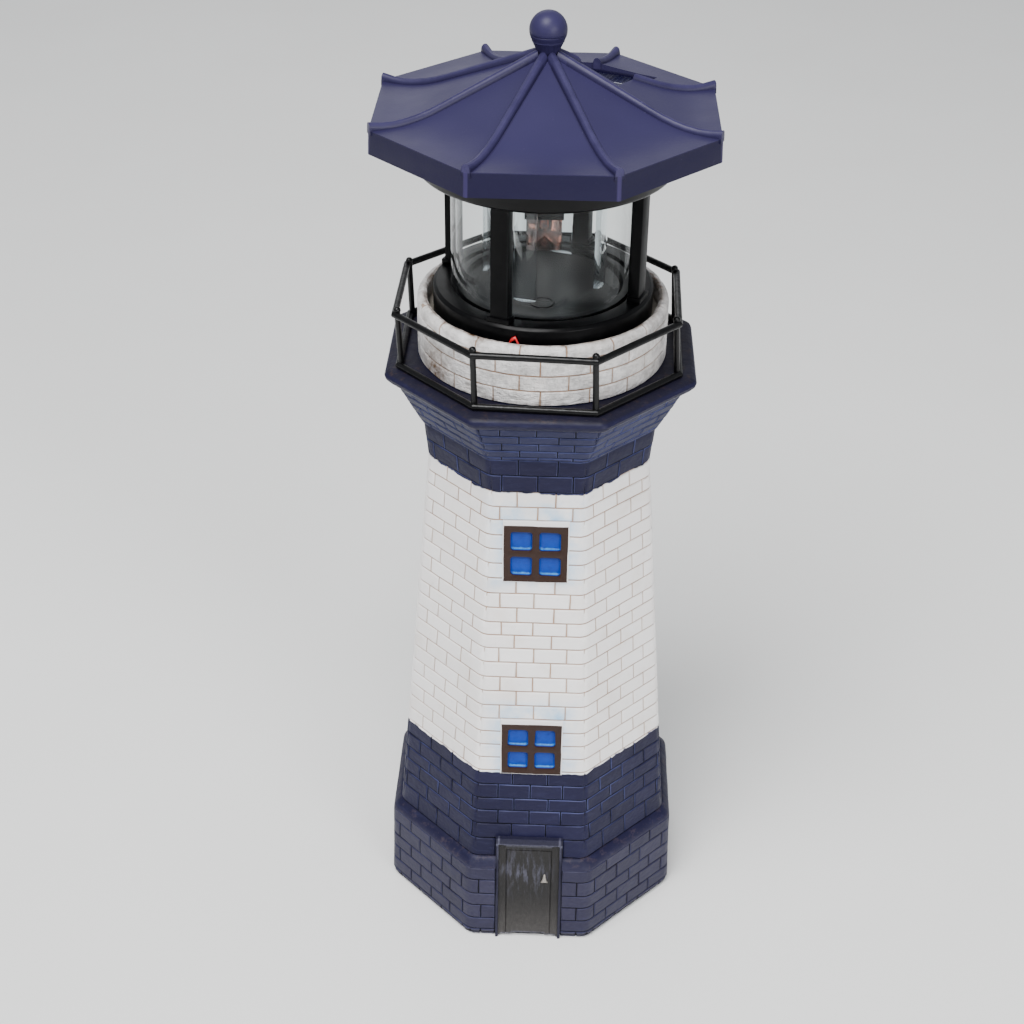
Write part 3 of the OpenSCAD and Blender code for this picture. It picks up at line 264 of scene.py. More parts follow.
def tower_paint():
    """Hand-painted resin: white and navy zones, stained joints, brick edges dry-brushed and given a painted
    highlight, a painted highlight on the corbel's front, wear.
    """
    f = Finish("tower_paint")
    x, y, z = f.xyz
    lift, rim, tint, bare = (f.attribute(name) for name in ("lift", "rim", "tint", "bare"))
    radius = (x * x + y * y) ** 0.5
    wander = f.noise(9, 3) - 0.5
    broad = f.noise(38, 2)
    fine = f.noise(1.6, 4, 0.6)
    patch = f.noise(14, 3, 0.6, shift=(0.3, 0, 0))
    groove = (1 - lift).clamped()
    on_parapet = z.over(236, 1)

    shaft_white = (z + wander * 3.2).over(80.7, 0.18) * (z + wander * 3.6).under(200.2, 0.18)
    rim_white = z.over(237.25, 0.1) * radius.under(43.95, 0.08)
    white_mask = (shaft_white + rim_white).clamped()

    # White side: mottle, rough stone of the parapet, blue haze round the windows, stained joints
    white = f.coated(
        f.mix(tint * 0.5 + broad * 0.4, (228, 224, 222), (243, 241, 241)),
        ((patch - 0.52) * 1.3, (206, 194, 180)),
        ((f.noise(3.2, 4, 0.7) - 0.6) * 1.6, (188, 182, 178)),
        (f.spots(4.5, 2.4, 0.95, shift=(0, 0.2, 0)) * on_parapet * 0.85, (150, 147, 144)))
    for height in WINDOWS:
        across, up = abs(x) - 12.0, abs(z - height - 3.0) - 13.0
        haze = across.math("MAXIMUM", across, up).under(3, 6) * y.under(-30, 2)
        white = f.mix(haze * f.spots(7, 2.4, 0.72, 3, 0.6, shift=(0, 0, 0.1)), white, (150, 192, 226))
    joint_stain = f.mix(f.noise(6, 2), (132, 96, 68), (182, 154, 130))
    white = f.coated(
        white,
        (groove * (0.62 + patch * 0.7) * (1 - abs(x) * 0.005), joint_stain),
        (rim * 0.16 * fine, (168, 146, 124)))

    # Brown stain on the parapet
    stain = f.near((-36, -26, 240), 7, 7) * f.spots(4, 1.5, 0.28, 4, 0.65)
    stain = stain + f.near((-20, -36.5, 258), 2.5, 3.5) * (fine * 1.4 - 0.4).clamped()
    stain = stain + f.near((36, -21, 258), 3, 4) * (fine * 1.2 - 0.45).clamped()
    stain = stain + z.over(256.5, 1.6) * radius.under(41.8, 0.8) * f.spots(5, 2.2, 0.9, 3, 0.65)
    stain = stain + z.under(241, 3) * f.spots(6, 2.4, 1.25, 4, 0.65, shift=(0.4, 0, 0)) * 0.6
    white = f.mix(stain * rim_white * 1.5, white, (104, 78, 54))

    # Navy side, with painted highlights on the corbel's front and on brick edges
    plinth = z.under(37.5, 1.5)
    # The corbel's front is painted lighter blue: a painted highlight
    corbel = z.between(214, 232, 1) * y.under(-20, 10)
    smear = f.spots(2.4, 2.6, 1.35, stretch=(2.4, 2.4, 0.7))
    # Pale brick edges: partly dry-brushed paint, partly a painted highlight, strongest on the front right
    # rows and on the band
    drybrush_and_highlight = (z - 71).under(13, 6) * (z - 71).over(-14, 6) * f.near((16, -46, 71), 22, 16)
    drybrush_and_highlight = drybrush_and_highlight + z.over(200, 1) * 0.5
    edge = rim * lift * (patch * 2.6 - 0.95 + drybrush_and_highlight * 0.7).clamped() * (1 - plinth * 0.5)
    deck = z.between(236.3, 238.2, 0.3) * radius.over(43.9, 0.05)
    ledge = z.between(36.4, 40.6, 0.5)
    navy = f.coated(
        f.mix(tint * 0.6 + broad * 0.3, (19, 18, 42), (29, 28, 56)),
        (plinth * (0.45 + tint * 0.25) * (0.4 + fine), (56, 54, 70)),
        (corbel * (0.15 + patch * 0.5), (44, 48, 80)),
        (smear * 0.35 * (0.3 + patch), (62, 64, 98)),
        (groove * 0.9, (4, 4, 9)),
        (edge * 0.55, (96, 102, 152)),
        (deck * (0.45 + patch * 0.4), (22, 20, 28)),
        (deck * f.spots(3, 2.4, 1.3, shift=(0.1, 0, 0)), (66, 52, 42)),
        (ledge * f.spots(3, 2.2, 1.15), (80, 68, 70)))

    resin = f.mix(fine, (176, 168, 156), (204, 197, 186))
    colour = f.coated(navy, (white_mask, white), (bare, resin))
    rough = white_mask * 0.16 + 0.42 + fine * 0.12 + groove * 0.2
    strokes = f.bump(f.noise(1.1, 3, 0.6, stretch=(4, 4, 1)), 0.07, f.bump(fine, 0.10))
    chips = f.noise(2.4, 5, 0.7, stretch=(1.8, 1.8, 1)) * on_parapet
    stone = f.bump(chips * rim_white, 2.4, strokes)
    return f.surface(colour, rough, f.bump(f.noise(7, 2), 0.35, stone), specular=0.16)


def door_paint():
    """Charcoal door with grain and scuffs, in a navy casing, with a painted highlight along its edges."""
    f = Finish("door_paint")
    grain = f.noise(0.7, 4, 0.6, stretch=(1, 1, 9))
    fine = f.noise(1.5, 4, 0.65)
    scuff = f.spots(1.5, 3.2, 1.55, stretch=(1, 1, 5)) * f.near((-2.5, -56, 33), 8, 9)
    charcoal = f.coated(
        f.mix(grain, (14, 14, 14), (38, 36, 36)),
        (scuff * 0.75, (112, 112, 134)),
        (f.xyz[2].under(12, 12) * 0.45 * fine, (104, 100, 98)))
    colour = f.coated(
        f.mix(fine, (19, 18, 36), (30, 29, 50)),
        (f.attribute("panel"), charcoal),
        # Pale edges along the lintel, casing and arch: a painted highlight
        (f.attribute("edge") * (fine * 1.5 - 0.2).clamped() * 0.7, (104, 104, 122)))
    return f.surface(colour, 0.42 + grain * 0.2, f.bump(grain, 0.22, f.bump(fine, 0.12)), specular=0.25)


def window_paint():
    """White sides, brown frame, blue panes with painted shade along the upper edge and a painted highlight
    along the lower one.
    """
    f = Finish("window_paint")
    pane, fall, side = (f.attribute(name) for name in ("pane", "fall", "side"))
    fine = f.noise(1.2, 4, 0.6)
    blue = f.coated(
        f.mix(f.noise(2.6, 3, 0.6), (1, 42, 128), (4, 62, 164)),
        (f.spots(2.2, 2.4, 1.3, 2, 0.5, shift=(0.2, 0.1, 0)) * 0.6, (2, 26, 80)),
        # Painted shade along each pane's upper edge under the frame, then a painted highlight along its
        # lower edge
        (fall.under(0.16, 0.12) * 0.75, (2, 22, 70)),
        ((fall + fine * 0.34 - 0.17).over(0.94, 0.08) * 0.8, (40, 128, 186)))
    colour = f.coated(
        f.mix(fine, (30, 15, 9), (46, 26, 17)),
        (pane.over(0.6, 0.15), blue),
        ((side + fine * 0.3).over(0.62, 0.1), (226, 223, 224)))
    return f.surface(colour, 0.36 + fine * 0.14, f.bump(fine, 0.1), specular=0.25)


def roof_paint():
    """Navy plastic paint, satin, thinner and paler along the ribs, with painted shade on the skirt and along
    the ribs' feet and a painted highlight at the skirt's corners.
    """
    f = Finish("roof_paint")
    x, y, z = f.xyz
    broad = f.noise(30, 2)
    azimuth = x.math("ARCTAN2", x, y) * (180 / pi) - 22.5
    radius = (x * x + y * y) ** 0.5
    from_corner = azimuth.math("PINGPONG", azimuth, 22.5) * (pi / 180) * radius
    from_rib = from_corner + radius.under(7, 0.5) * 9 + z.under(323.6, 0.3) * 9
    # Paler line down each corner of the skirt: a painted highlight standing in for a bead
    skirt_corner_highlight = from_corner.under(0.7, 0.25) * z.under(323.9, 0.1) * radius.over(50, 1)
    colour = f.coated(
        f.mix(broad, (36, 32, 62), (43, 39, 72)),
        # The skirt painted darker: painted shade
        (z.under(323.8, 0.3) * 0.9, (9, 4, 38)),
        (from_rib.under(1.3, 0.25) * f.spots(9, 2.2, 0.75, 4, 0.65) * 0.22, (86, 80, 122)),
        # Darker band along each rib's foot: painted shade in the crease
        (from_rib.between(1.3, 1.9, 0.3) * 0.35, (16, 12, 34)),
        (skirt_corner_highlight * 0.5, (58, 50, 92)),
        (f.spots(1.1, 14, 10.6, 2, 0.5) * 0.2, (132, 128, 160)))
    rough = 0.36 + f.noise(12, 3, 0.6) * 0.12
    uneven = f.bump(f.noise(0.9, 3, 0.6), 0.035, f.bump(broad, 0.5))
    return f.surface(colour, rough, uneven, specular=0.22)


def black_plastic():
    """Glossy moulded black with faint dust."""
    f = Finish("black_plastic")
    dust = f.spots(7, 1.8, 0.85, 5, 0.65)
    colour = f.mix(dust * 0.16, (3, 3, 4), (46, 45, 46))
    rough = 0.26 + dust * 0.3 + f.noise(16, 3) * 0.08
    uneven = f.bump(f.noise(1.0, 2), 0.004, f.bump(f.noise(22, 2), 0.12))
    return f.surface(colour, rough, uneven, specular=0.12)


def rail_enamel():
    """Black wire, dipped, with small runs and worn spots."""
    f = Finish("rail_enamel")
    worn = f.spots(2.2, 3, 1.9)
    colour = f.mix(worn * 0.35, (5, 5, 6), (60, 58, 62))
    runs = f.bump(f.noise(3.5, 3, 0.6, stretch=(1, 1, 1.6)), 0.28, f.bump(f.noise(0.7, 3), 0.04))
    return f.surface(colour, 0.3 + worn * 0.3, runs, specular=0.24)


def clear_plastic(name, tone, gloss_share, edge_share=0.0):
    """See-through, with gloss at a slant. Below the lens disc, edge_share adds gloss to the upright bars."""
    f = Finish(name)
    bars = f.xyz[2].under(LENS_DISC - 1, 0.3)
    clear = f.add("ShaderNodeBsdfTransparent", sockets={"Color": tone})
    gloss = f.shader((0.96, 0.97, 0.98, 1), 0.03, metallic=1.0)
    slant = f.add("ShaderNodeLayerWeight", sockets={"Blend": 0.5}, output="Facing")
    film = f.spots(11, 0.03, 0.013, 4, 0.6)
    factor = (slant ** 5 * gloss_share + slant ** 2 * edge_share * bars + 0.008 + film).clamped()
    return f.finish_with(f.add("ShaderNodeMixShader", sockets={0: factor, 1: clear, 2: gloss}))


def lamp_acrylic():
    """Thick acrylic round the lamp that bends light, with dark patches and a painted reddish brown
    reflection of the copper lead frame in its colour.
    """
    f = Finish("lamp_acrylic")
    # Dark and reddish brown patches: the reddish brown is a painted reflection of the copper lead frame
    colour = f.mix(f.noise(3.5, 3, 0.6).over(0.53, 0.09), (0.07, 0.05, 0.05, 1), (0.66, 0.3, 0.22, 1))
    return f.surface(colour, 0.04, f.bump(f.noise(5, 2), 0.25), transmission_weight=1.0, ior=1.49)


def plain(name, dark, light, mottle, grain=None, rough=(0.45, 0.12), depth=0.04, **constants):
    """A colour that varies with one noise, and a roughness and a bump that vary with another or the same."""
    f = Finish(name)
    spread_out = f.noise(*mottle)
    fine = f.noise(*grain) if grain else spread_out
    base, share = rough
    roughness = base + fine * share if share else base
    return f.surface(f.mix(spread_out, dark, light), roughness, f.bump(fine, depth), **constants)


def metal(name, dark, light, roughness):
    return plain(name, dark, light, (0.9, 3, 0.6, (1, 1, 4)), None, (roughness, 0.14), 0.03, metallic=1.0)


def moulded(name, dark, light, roughness=0.45, grain=1.4, **constants):
    return plain(name, dark, light, (grain, 4, 0.6), None, (roughness, 0.12), **constants)


def solar_cell_face():
    """Dark cells with pale collecting lines along the panel's length, under clear resin."""
    f = Finish("solar_cell_face")
    x, y, _ = f.xyz
    turn = radians(67.5)
    along = x * cos(turn) + y * sin(turn)
    across = y * cos(turn) - x * sin(turn)

    def lines(value, pitch, width):
        """1 on lines a pitch apart, 0 between them."""
        return value.math("PINGPONG", value, pitch / 2).under(width / 2, 0.05)

    dust = f.spots(6, 1.6, 0.6, 5, 0.65)
    colour = f.coated(
        f.mix(f.noise(5, 3, 0.5), (12, 13, 34), (24, 26, 58)),
        ((lines(across, 1.6, 0.12) * 0.5).clamped(), (90, 94, 120)),
        (lines(along - 2.0, 8.2, 0.5), (168, 170, 178)),
        (dust * 0.25, (150, 148, 142)))
    return f.surface(colour, 0.14 + dust * 0.4, coat_weight=0.8, coat_roughness=0.08)


def board_laminate():
    f = Finish("board_laminate")
    tracks = f.add("ShaderNodeTexVoronoi", {"distance": "MANHATTAN", "feature": "DISTANCE_TO_EDGE"},
                   {"Vector": f.place, "Scale": 320.0})
    colour = f.mix(tracks.under(0.1, 0.04) * 0.7, (34, 92, 52), (20, 66, 38))
    return f.surface(colour, 0.35, f.bump(tracks.over(0.1, 0.04), 0.04), coat_weight=0.3)


BLACK = black_plastic()
ROOF = roof_paint()
TOWER = tower_paint()
ENAMEL = rail_enamel()
LAMP = lamp_acrylic()
LENS = clear_plastic("lens_acrylic", (0.86, 0.89, 0.9, 1), 1.0, 0.85)
DARK = plain("dark_plastic", (34, 34, 36), (52, 52, 54), (12, 3), (0.8, 3, 0.6), (0.5, 0.15), 0.05)
STEEL = metal("screw_steel", (150, 152, 156), (206, 208, 212), 0.28)
NICKEL = metal("contact_plating", (168, 162, 146), (214, 206, 188), 0.25)
BRASS = metal("turned_brass", (176, 132, 62), (222, 184, 104), 0.24)
GEAR_NYLON = moulded("gear_nylon", (206, 198, 178), (226, 220, 204), 0.42)
CELL_SLEEVE = moulded("cell_sleeve", (30, 104, 66), (44, 128, 82), 0.3, 3.0, coat_weight=0.5)
CHIP = moulded("chip_black", (20, 20, 22), (36, 36, 38), 0.5)
COIL = moulded("coil_copper", (124, 62, 34), (176, 96, 54), 0.35, 0.5, metallic=0.9)
INSULATION = moulded("red_insulation", (176, 18, 24), (206, 30, 34), 0.32, 1.2, coat_weight=0.3)
LED_LENS = moulded("led_lens", (128, 70, 50), (196, 128, 104), 0.16, 1.5)
PANEL_BACK = moulded("panel_frame", (22, 22, 30), (40, 40, 52), 0.3, 4.0, coat_weight=0.4)
CELLS = solar_cell_face()
BOARD = board_laminate()
CLEAR = clear_plastic("clear_cylinder", (0.975, 0.985, 0.985, 1), 0.85)
WINDOW = window_paint()
DOOR = door_paint()
KNOB = plain("knob_paint", (92, 88, 84), (168, 162, 154), (0.8, 4, 0.7), (0.6, 3), (0.5, 0), 0.08)
FLOOR = plain("floor_paper", (228, 228, 226), (236, 236, 235), (160, 3), (3, 3), (0.8, 0), 0.05)


# ---- meshes: the tools


def add_object(name, mesh, material=None):
    obj = bpy.data.objects.new(name, mesh)
    SCENE.collection.objects.link(obj)
    if material:
        mesh.materials.clear()
        mesh.materials.append(material)
    return obj


def mesh_from(name, points, faces, **marks):
    """A mesh from points in millimetres, with named values for its points."""
    mesh = bpy.data.meshes.new(name)
    mesh.from_pydata([tuple(c * MM for c in p) for p in points], [], faces)
    for mark, values in marks.items():
        mesh.attributes.new(mark, "FLOAT", "POINT").data.foreach_set("value", values)
    mesh.update()
    return mesh


def shade(mesh, angle):
    """Smooth shading that keeps edges sharper than an angle."""
    mesh.polygons.foreach_set("use_smooth", [True] * len(mesh.polygons))
    mesh.set_sharp_from_angle(angle=radians(angle))


def closed(name, points, faces, material, smooth, join=0.0, **marks):
    """A closed piece with its faces turned outwards, and points joined that lie closer than join."""
    mesh = mesh_from(name, points, faces, **marks)
    work = bmesh.new()
    work.from_mesh(mesh)
    if join:
        bmesh.ops.remove_doubles(work, verts=work.verts, dist=join * MM)
    bmesh.ops.recalc_face_normals(work, faces=work.faces)
    work.to_mesh(mesh)
    work.free()
    shade(mesh, smooth)
    return add_object(name, mesh, material)


def loop_faces(a, b):
    """Faces between two closed loops of point numbers."""
    n = len(a)
    return [(a[i], a[(i + 1) % n], b[(i + 1) % n], b[i]) for i in range(n)]


def grid_faces(rows, width, first=0):
    """Faces of a grid whose points are numbered row by row."""
    corners = [first + r * width + c for r in range(rows - 1) for c in range(width - 1)]
    return [(a, a + 1, a + width + 1, a + width) for a in corners]


def reshaped(obj, change):
    """Sends every point of a piece through a function of x, y and z in millimetres."""
    for vertex in obj.data.vertices:
        vertex.co = Vector(change(*(vertex.co / MM))) * MM
    return obj


def baked(obj):
    """Turns an object's modifiers into its mesh."""
    graph = bpy.context.evaluated_depsgraph_get()
    mesh = bpy.data.meshes.new_from_object(obj.evaluated_get(graph), preserve_all_data_layers=True,
                                           depsgraph=graph)
    old = obj.data
    obj.modifiers.clear()
    obj.data = mesh
    bpy.data.meshes.remove(old)
    return obj


BODY_OF = {node: body for body, nodes in frame["record"]["behaviour"]["bodies"].items() for node in nodes}


def seat(obj, node):
    """Puts a piece on the body of the CAD node it stands for, and hides that node."""
    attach(obj, BODY_OF[node])
    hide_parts(node)
    return obj


def finished_copy(node, material, bevel=0.0, smooth=32, change=None):
    """A copy of a CAD node with its triangles joined, its edges eased and its curves smooth."""
    mesh = frame["nodes"][node].data.copy()
    work = bmesh.new()
    work.from_mesh(mesh)
    bmesh.ops.remove_doubles(work, verts=work.verts, dist=0.002 * MM)
    bmesh.ops.dissolve_limit(work, angle_limit=radians(0.6), verts=work.verts, edges=work.edges)
    work.to_mesh(mesh)
    work.free()
    for layer in list(mesh.uv_layers):
        mesh.uv_layers.remove(layer)
    if mesh.has_custom_normals:
        mesh.attributes.remove(mesh.attributes["custom_normal"])
    obj = add_object(node + "_finished", mesh, material)
    mesh.polygons.foreach_set("material_index", [0] * len(mesh.polygons))
    if bevel:
        ease = obj.modifiers.new("ease", "BEVEL")
        ease.width = bevel * MM
        ease.segments = 2
        ease.limit_method = "ANGLE"
        ease.angle_limit = radians(35)
        ease.use_clamp_overlap = True
        baked(obj)
    shade(obj.data, smooth)
    if change:
        reshaped(obj, change)
    return seat(obj, node)


# ---- tower: its form


def casting_at(z):
    """Distance to a flat and corner rounding of the casting at a height."""
    for (z0, r0, c0), (z1, r1, c1) in zip(STATIONS, STATIONS[1:]):
        if z <= z1:
            share = max(0.0, (z - z0) / (z1 - z0))
            return r0 + (r1 - r0) * share, c0 + (c1 - c0) * share
    return STATIONS[-1][1:]


def octagon_point(side, s, z, inset=0.0):
    """A point of the casting's skin: s runs along one side from its middle, then turns round the corner."""
    r, rounding = casting_at(z)
    r, rounding = r - inset, rounding - inset
    flat = (r - rounding) * FLAT_SHARE
    past = max(0.0, abs(s) - flat) / rounding
    x = copysign(min(abs(s), flat) + rounding * sin(past), s)
    y = -(r - rounding + rounding * cos(past))
    turn = side * EIGHTH
    return x * cos(turn) - y * sin(turn), x * sin(turn) + y * cos(turn), z


def door_plane(z, out):
    """Y of the door's leaning plane at a height, moved outwards by a distance."""
    return -(SHAFT_FLAT - (z - SHAFT_FOOT) * tan(LEAN)) - out / cos(LEAN)


def rim_turn(sunk):
    """Radius and height of points round the parapet's upper edge, sunk into it."""
    r, turn = PARAPET_R - sunk, PARAPET_ROUND - sunk
    return [(r - turn + turn * cos(a), KNEE + turn * sin(a)) for a in (k * pi / 10 for k in range(1, 6))]


def beside(half, middle=0.0):
    """Places close on both sides of an opening's two edges."""
    return [middle + s * (half + d) for s in (-1, 1) for d in (-HAIR, HAIR)]


def tower_core():
    """The casting without its bricks: sunk between the bricks, at full size on the plain bands."""
    columns = []
    for side in range(8):
        shares = [-1.0, 1.0] if side == 0 else [k / 4 for k in range(-4, 5)]
        columns += [(side, "flat", share) for share in shares]
        columns += [(side, "turn", k / 4) for k in range(1, 5)]
        columns += [((side + 1) % 8, "turn", -1 + k / 4) for k in range(1, 4)]
    # Upright lines close beside the edges of the door and the windows, and three between them
    columns += [(0, "fixed", s) for s in (*beside(DOOR_HALF), *beside(WINDOW_SEAT), -6, 0, 6)]

    def place(column, z, inset):
        side, kind, s = column
        r, rounding = casting_at(z)
        flat = (r - rounding) * FLAT_SHARE
        if kind == "flat":
            s *= flat
        elif kind == "turn":
            s = copysign(flat + abs(s) * (rounding - inset) * pi / 8, s)
        return octagon_point(side, s, z, inset)

    def azimuth(column):
        px, py, _ = place(column, 20, 0)
        return atan2(px, -py) % (2 * pi)

    def recessed(px, py, pz):
        """Sinks the skin behind the door and the windows."""
        if pz < DOOR_TOP and abs(px) < DOOR_HALF and py < 0:
            py = max(py, door_plane(pz, -1.2))
        for middle in WINDOWS:
            if abs(pz - middle) < WINDOW_SEAT and abs(px) < WINDOW_SEAT and py < 0:
                py = max(py, door_plane(pz, -1.4))
        return px, py, pz

    columns.sort(key=azimuth)
    angles = [azimuth(column) for column in columns]
    shaft = {DOOR_TOP - HAIR, DOOR_TOP + HAIR, *(SHAFT_FOOT + k * 8 for k in range(1, 21))}
    shaft |= {z for middle in WINDOWS for z in beside(WINDOW_SEAT, middle)}
    zones = ((0, LEDGE_FOOT, 1, set()), (LEDGE_FOOT, SHAFT_FOOT, 0, {36.6, 37.5, 38.6}),
             (SHAFT_FOOT, CORBEL_TOP, 1, shaft),
             (CORBEL_TOP, DECK, 0, {232.1, 233.3, 234.6, 235.7, 236.7}))
    # Rings of points from the foot up and down again inside, each with its lift and bareness
    rings = []
    for low, high, sunk, extra in zones:
        for z in sorted({low, high} | {s[0] for s in STATIONS if low < s[0] < high} | extra):
            ring = [recessed(*place(column, z, JOINT_DEPTH * sunk)) for column in columns]
            rings.append((ring, 1 - sunk, 0))
    sunk_r = PARAPET_R - JOINT_DEPTH
    profile = [(43.9, DECK, 1, 0), (sunk_r, DECK, 0, 0), (sunk_r, KNEE, 0, 0)]
    profile += [(r, z, 0, 0) for r, z in rim_turn(JOINT_DEPTH)]
    profile += [(RIM_INNER, PARAPET_TOP - JOINT_DEPTH, 0, 0), (RIM_INNER, PARAPET_TOP, 1, 0),
                (40.5, 258.2, 1, 0), (WELL_R, 257.5, 1, 0), (WELL_R, SEAT_LEVEL, 1, 1),
                (THROAT_R, SEAT_LEVEL, 1, 1), (THROAT_R, 194.5, 1, 1), (46.2, SHAFT_FOOT, 1, 1),
                (CAVITY_R, 28, 1, 1), (CAVITY_R, 0, 1, 1)]
    for r, z, lifted, bare in profile:
        ring = []
        for a in angles:
            ragged = 0.0
            if 257 < z < 258.6 and r < 41.2:
                ragged = 0.55 * noise.noise(Vector((cos(a) * 5, sin(a) * 5, 3.1)))
            ring.append(((r + ragged) * sin(a), -(r + ragged) * cos(a), z))
        rings.append((ring, lifted, bare))

    n = len(columns)
    points = [p for ring, _, _ in rings for p in ring]
    lift = [float(lifted) for _, lifted, _ in rings for _ in range(n)]
    bare = [float(b) for _, _, b in rings for _ in range(n)]
    starts = [k * n for k in range(len(rings))]
    faces = [face for a, b in zip(starts, starts[1:] + [0])
             for face in loop_faces(range(a, a + n), range(b, b + n))]
    return closed("tower_core", points, faces, TOWER, 40, lift=lift, bare=bare)


# ---- tower: its bricks


def half_side(z):
    """Length of the skin from the middle of a side to the corner's middle."""
    r, rounding = casting_at(z)
    return (r - rounding) * FLAT_SHARE + rounding * pi / 8


def wobbled(value, *seed):
    """A joint's place, a little off as hand-cut joints are."""
    number = sum(part * 97 ** power for power, part in enumerate(seed))
    return value + random.Random(number).uniform(-0.55, 0.55)


def opening_half(low, high):
    """Half the width that a window or the door takes out of a course of the front, or 0."""
    if low < DOOR_TOP - 1.5:
        return DOOR_HALF + 0.1
    beside_window = any(low >= first - 0.1 and high <= last + 0.1 for first, last in WINDOW_COURSES)
    return WINDOW_HALF if beside_window else 0.0


def brick_spans(course, low, high):
    """Spans of one course of bricks round the tower, as (side, start, side, end)."""
    room = half_side((low + high) / 2)
    half = opening_half(low, high)
    joints = []
    for side in range(8):
        for k, s in enumerate(JOINTS[course % 2]):
            near_corner = abs(s) > 15 and side % 2 == 0 and low > LEDGE_FOOT - 0.2
            clear = half + 2 if side == 0 and half else 0
            if abs(s) < room - 1.6 and not near_corner and abs(s) >= clear:
                joints.append((side, wobbled(s, course, side, k)))
        if side == 0 and half:
            joints += [(0, -half), (0, half)]
    joints.sort()
    spans = [a + b for a, b in zip(joints, joints[1:] + joints[:1])]
    return [span for span in spans if not (half and span == (0, -half, 0, half))]


def spread(start, end, step):
    """Even places between two ends, with one just inside each for the eased edge."""
    room = end - start - 2 * BRICK_EASE
    count = max(1, ceil(room / step))
    return [start, *(start + BRICK_EASE + room * k / count for k in range(count + 1)), end]


def brick_columns(span, z):
    """Where a brick's columns stand, as (side, s), flat or bent round a corner."""
    side, start, far_side, end = span
    start, end = start + BRICK_GAP / 2, end - BRICK_GAP / 2
    if side == far_side:
        return [(side, s) for s in spread(start, end, 4)]
    room = half_side(z)
    turn = casting_at(z)[1] * pi / 8

    def up_to_corner(first):
        places = [first, first + BRICK_EASE]
        for k in (4, 3, 2, 1):
            s = room - turn * k / 4
            if s > places[-1] + 0.3:
                places.append(s)
        return places

    far = [(far_side, -s) for s in reversed(up_to_corner(-end))]
    return [(side, s) for s in up_to_corner(start)] + [(side, room)] + far


class Cells:
    """Gathers the bricks' outer faces as separate patches."""

    def __init__(self):
        self.points = []
        self.faces = []
        self.rim = []

    def patch(self, rows):
        """Adds a patch from rows of points."""
        width = len(rows[0])
        self.faces += grid_faces(len(rows), width, len(self.points))
        for r, row in enumerate(rows):
            self.points += row
            self.rim += [float(r in (0, len(rows) - 1) or c in (0, width - 1)) for c in range(width)]


def octagon_cells():
    """Patches for every brick of the plinth, shaft, band and corbel."""
    cells = Cells()
    for course, (low, high) in enumerate(zip(COURSES, COURSES[1:])):
        if low == LEDGE_FOOT:
            continue
        heights = spread(low + BRICK_GAP / 2, high - BRICK_GAP / 2, 3.5)
        for span in brick_spans(course, low, high):
            columns = brick_columns(span, (low + high) / 2)
            cells.patch([[octagon_point(side, s, z, BRICK_HEIGHT) for side, s in columns] for z in heights])
    return cells


def parapet_cells():
    """Patches for the round parapet's bricks; the top course turns over the rim."""
    cells = Cells()
    pitch = 360 / RIM_BRICKS
    r = PARAPET_R - BRICK_HEIGHT
    for course, line in enumerate(RIM_COURSES):
        offset = 1.0 if course % 2 == 0 else -8.8
        foot = line + BRICK_GAP / 2
        if course < 3:
            profile = [(r, z) for z in spread(foot, RIM_COURSES[course + 1] - BRICK_GAP / 2, 3)]
        else:
            profile = [(r, z) for z in (foot, foot + BRICK_EASE, KNEE)]
            profile += rim_turn(BRICK_HEIGHT)
            profile += [(41.3, PARAPET_TOP - BRICK_HEIGHT), (RIM_INNER, PARAPET_TOP - BRICK_HEIGHT)]
        joints = [radians(wobbled(0, RIM_SEED + course, k % RIM_BRICKS) * 1.4 + offset + pitch * k)
                  for k in range(RIM_BRICKS + 1)]
        for start, end in zip(joints, joints[1:]):
            places = spread(start * PARAPET_R + BRICK_GAP / 2, end * PARAPET_R - BRICK_GAP / 2, 2.6)
            angles = [place / PARAPET_R for place in places]
            cells.patch([[(pr * sin(a), -pr * cos(a), z) for a in angles] for pr, z in profile])
    return cells


class Tree(Nodes):
    """A Geometry Nodes tree in the making, with named inputs."""

    def __init__(self, name, sizes):
        self.tree = bpy.data.node_groups.new(name, "GeometryNodeTree")
        face = self.tree.interface
        face.new_socket("Geometry", in_out="INPUT", socket_type="NodeSocketGeometry")
        face.new_socket("Geometry", in_out="OUTPUT", socket_type="NodeSocketGeometry")
        self.keys = {}
        for label, (kind, value) in sizes.items():
            socket = face.new_socket(label, in_out="INPUT", socket_type=kind)
            if kind != "NodeSocketMaterial":
                socket.default_value = value
            self.keys[socket.identifier] = value
        start = self.tree.nodes.new("NodeGroupInput")
        self.size = {label: Number(self, start.outputs[label]) for label in ("Geometry", *sizes)}

    def store(self, geometry, name, value, kind="FLOAT"):
        """Keeps a value on the points under a name."""
        return self.add("GeometryNodeStoreNamedAttribute", {"data_type": kind, "domain": "POINT"},
                        {"Geometry": geometry, "Name": name, "Value": value})

    def named(self, name, kind="FLOAT"):
        return self.add("GeometryNodeInputNamedAttribute", {"data_type": kind}, {"Name": name})

    def end(self, geometry):
        """Ends the tree in Realize Instances and Set Material."""
        solid = self.add("GeometryNodeRealizeInstances", None, {0: geometry})
        dressed = self.add("GeometryNodeSetMaterial", None,
                           {"Geometry": solid, "Material": self.size["Material"]})
        self.add("NodeGroupOutput", None, {0: dressed}, None)

    def apply(self, obj):
        """Runs the tree on an object and keeps the result as its plain mesh."""
        work = obj.modifiers.new(self.tree.name, "NODES")
        work.node_group = self.tree
        for identifier, value in self.keys.items():
            work[identifier] = value
        return baked(obj)


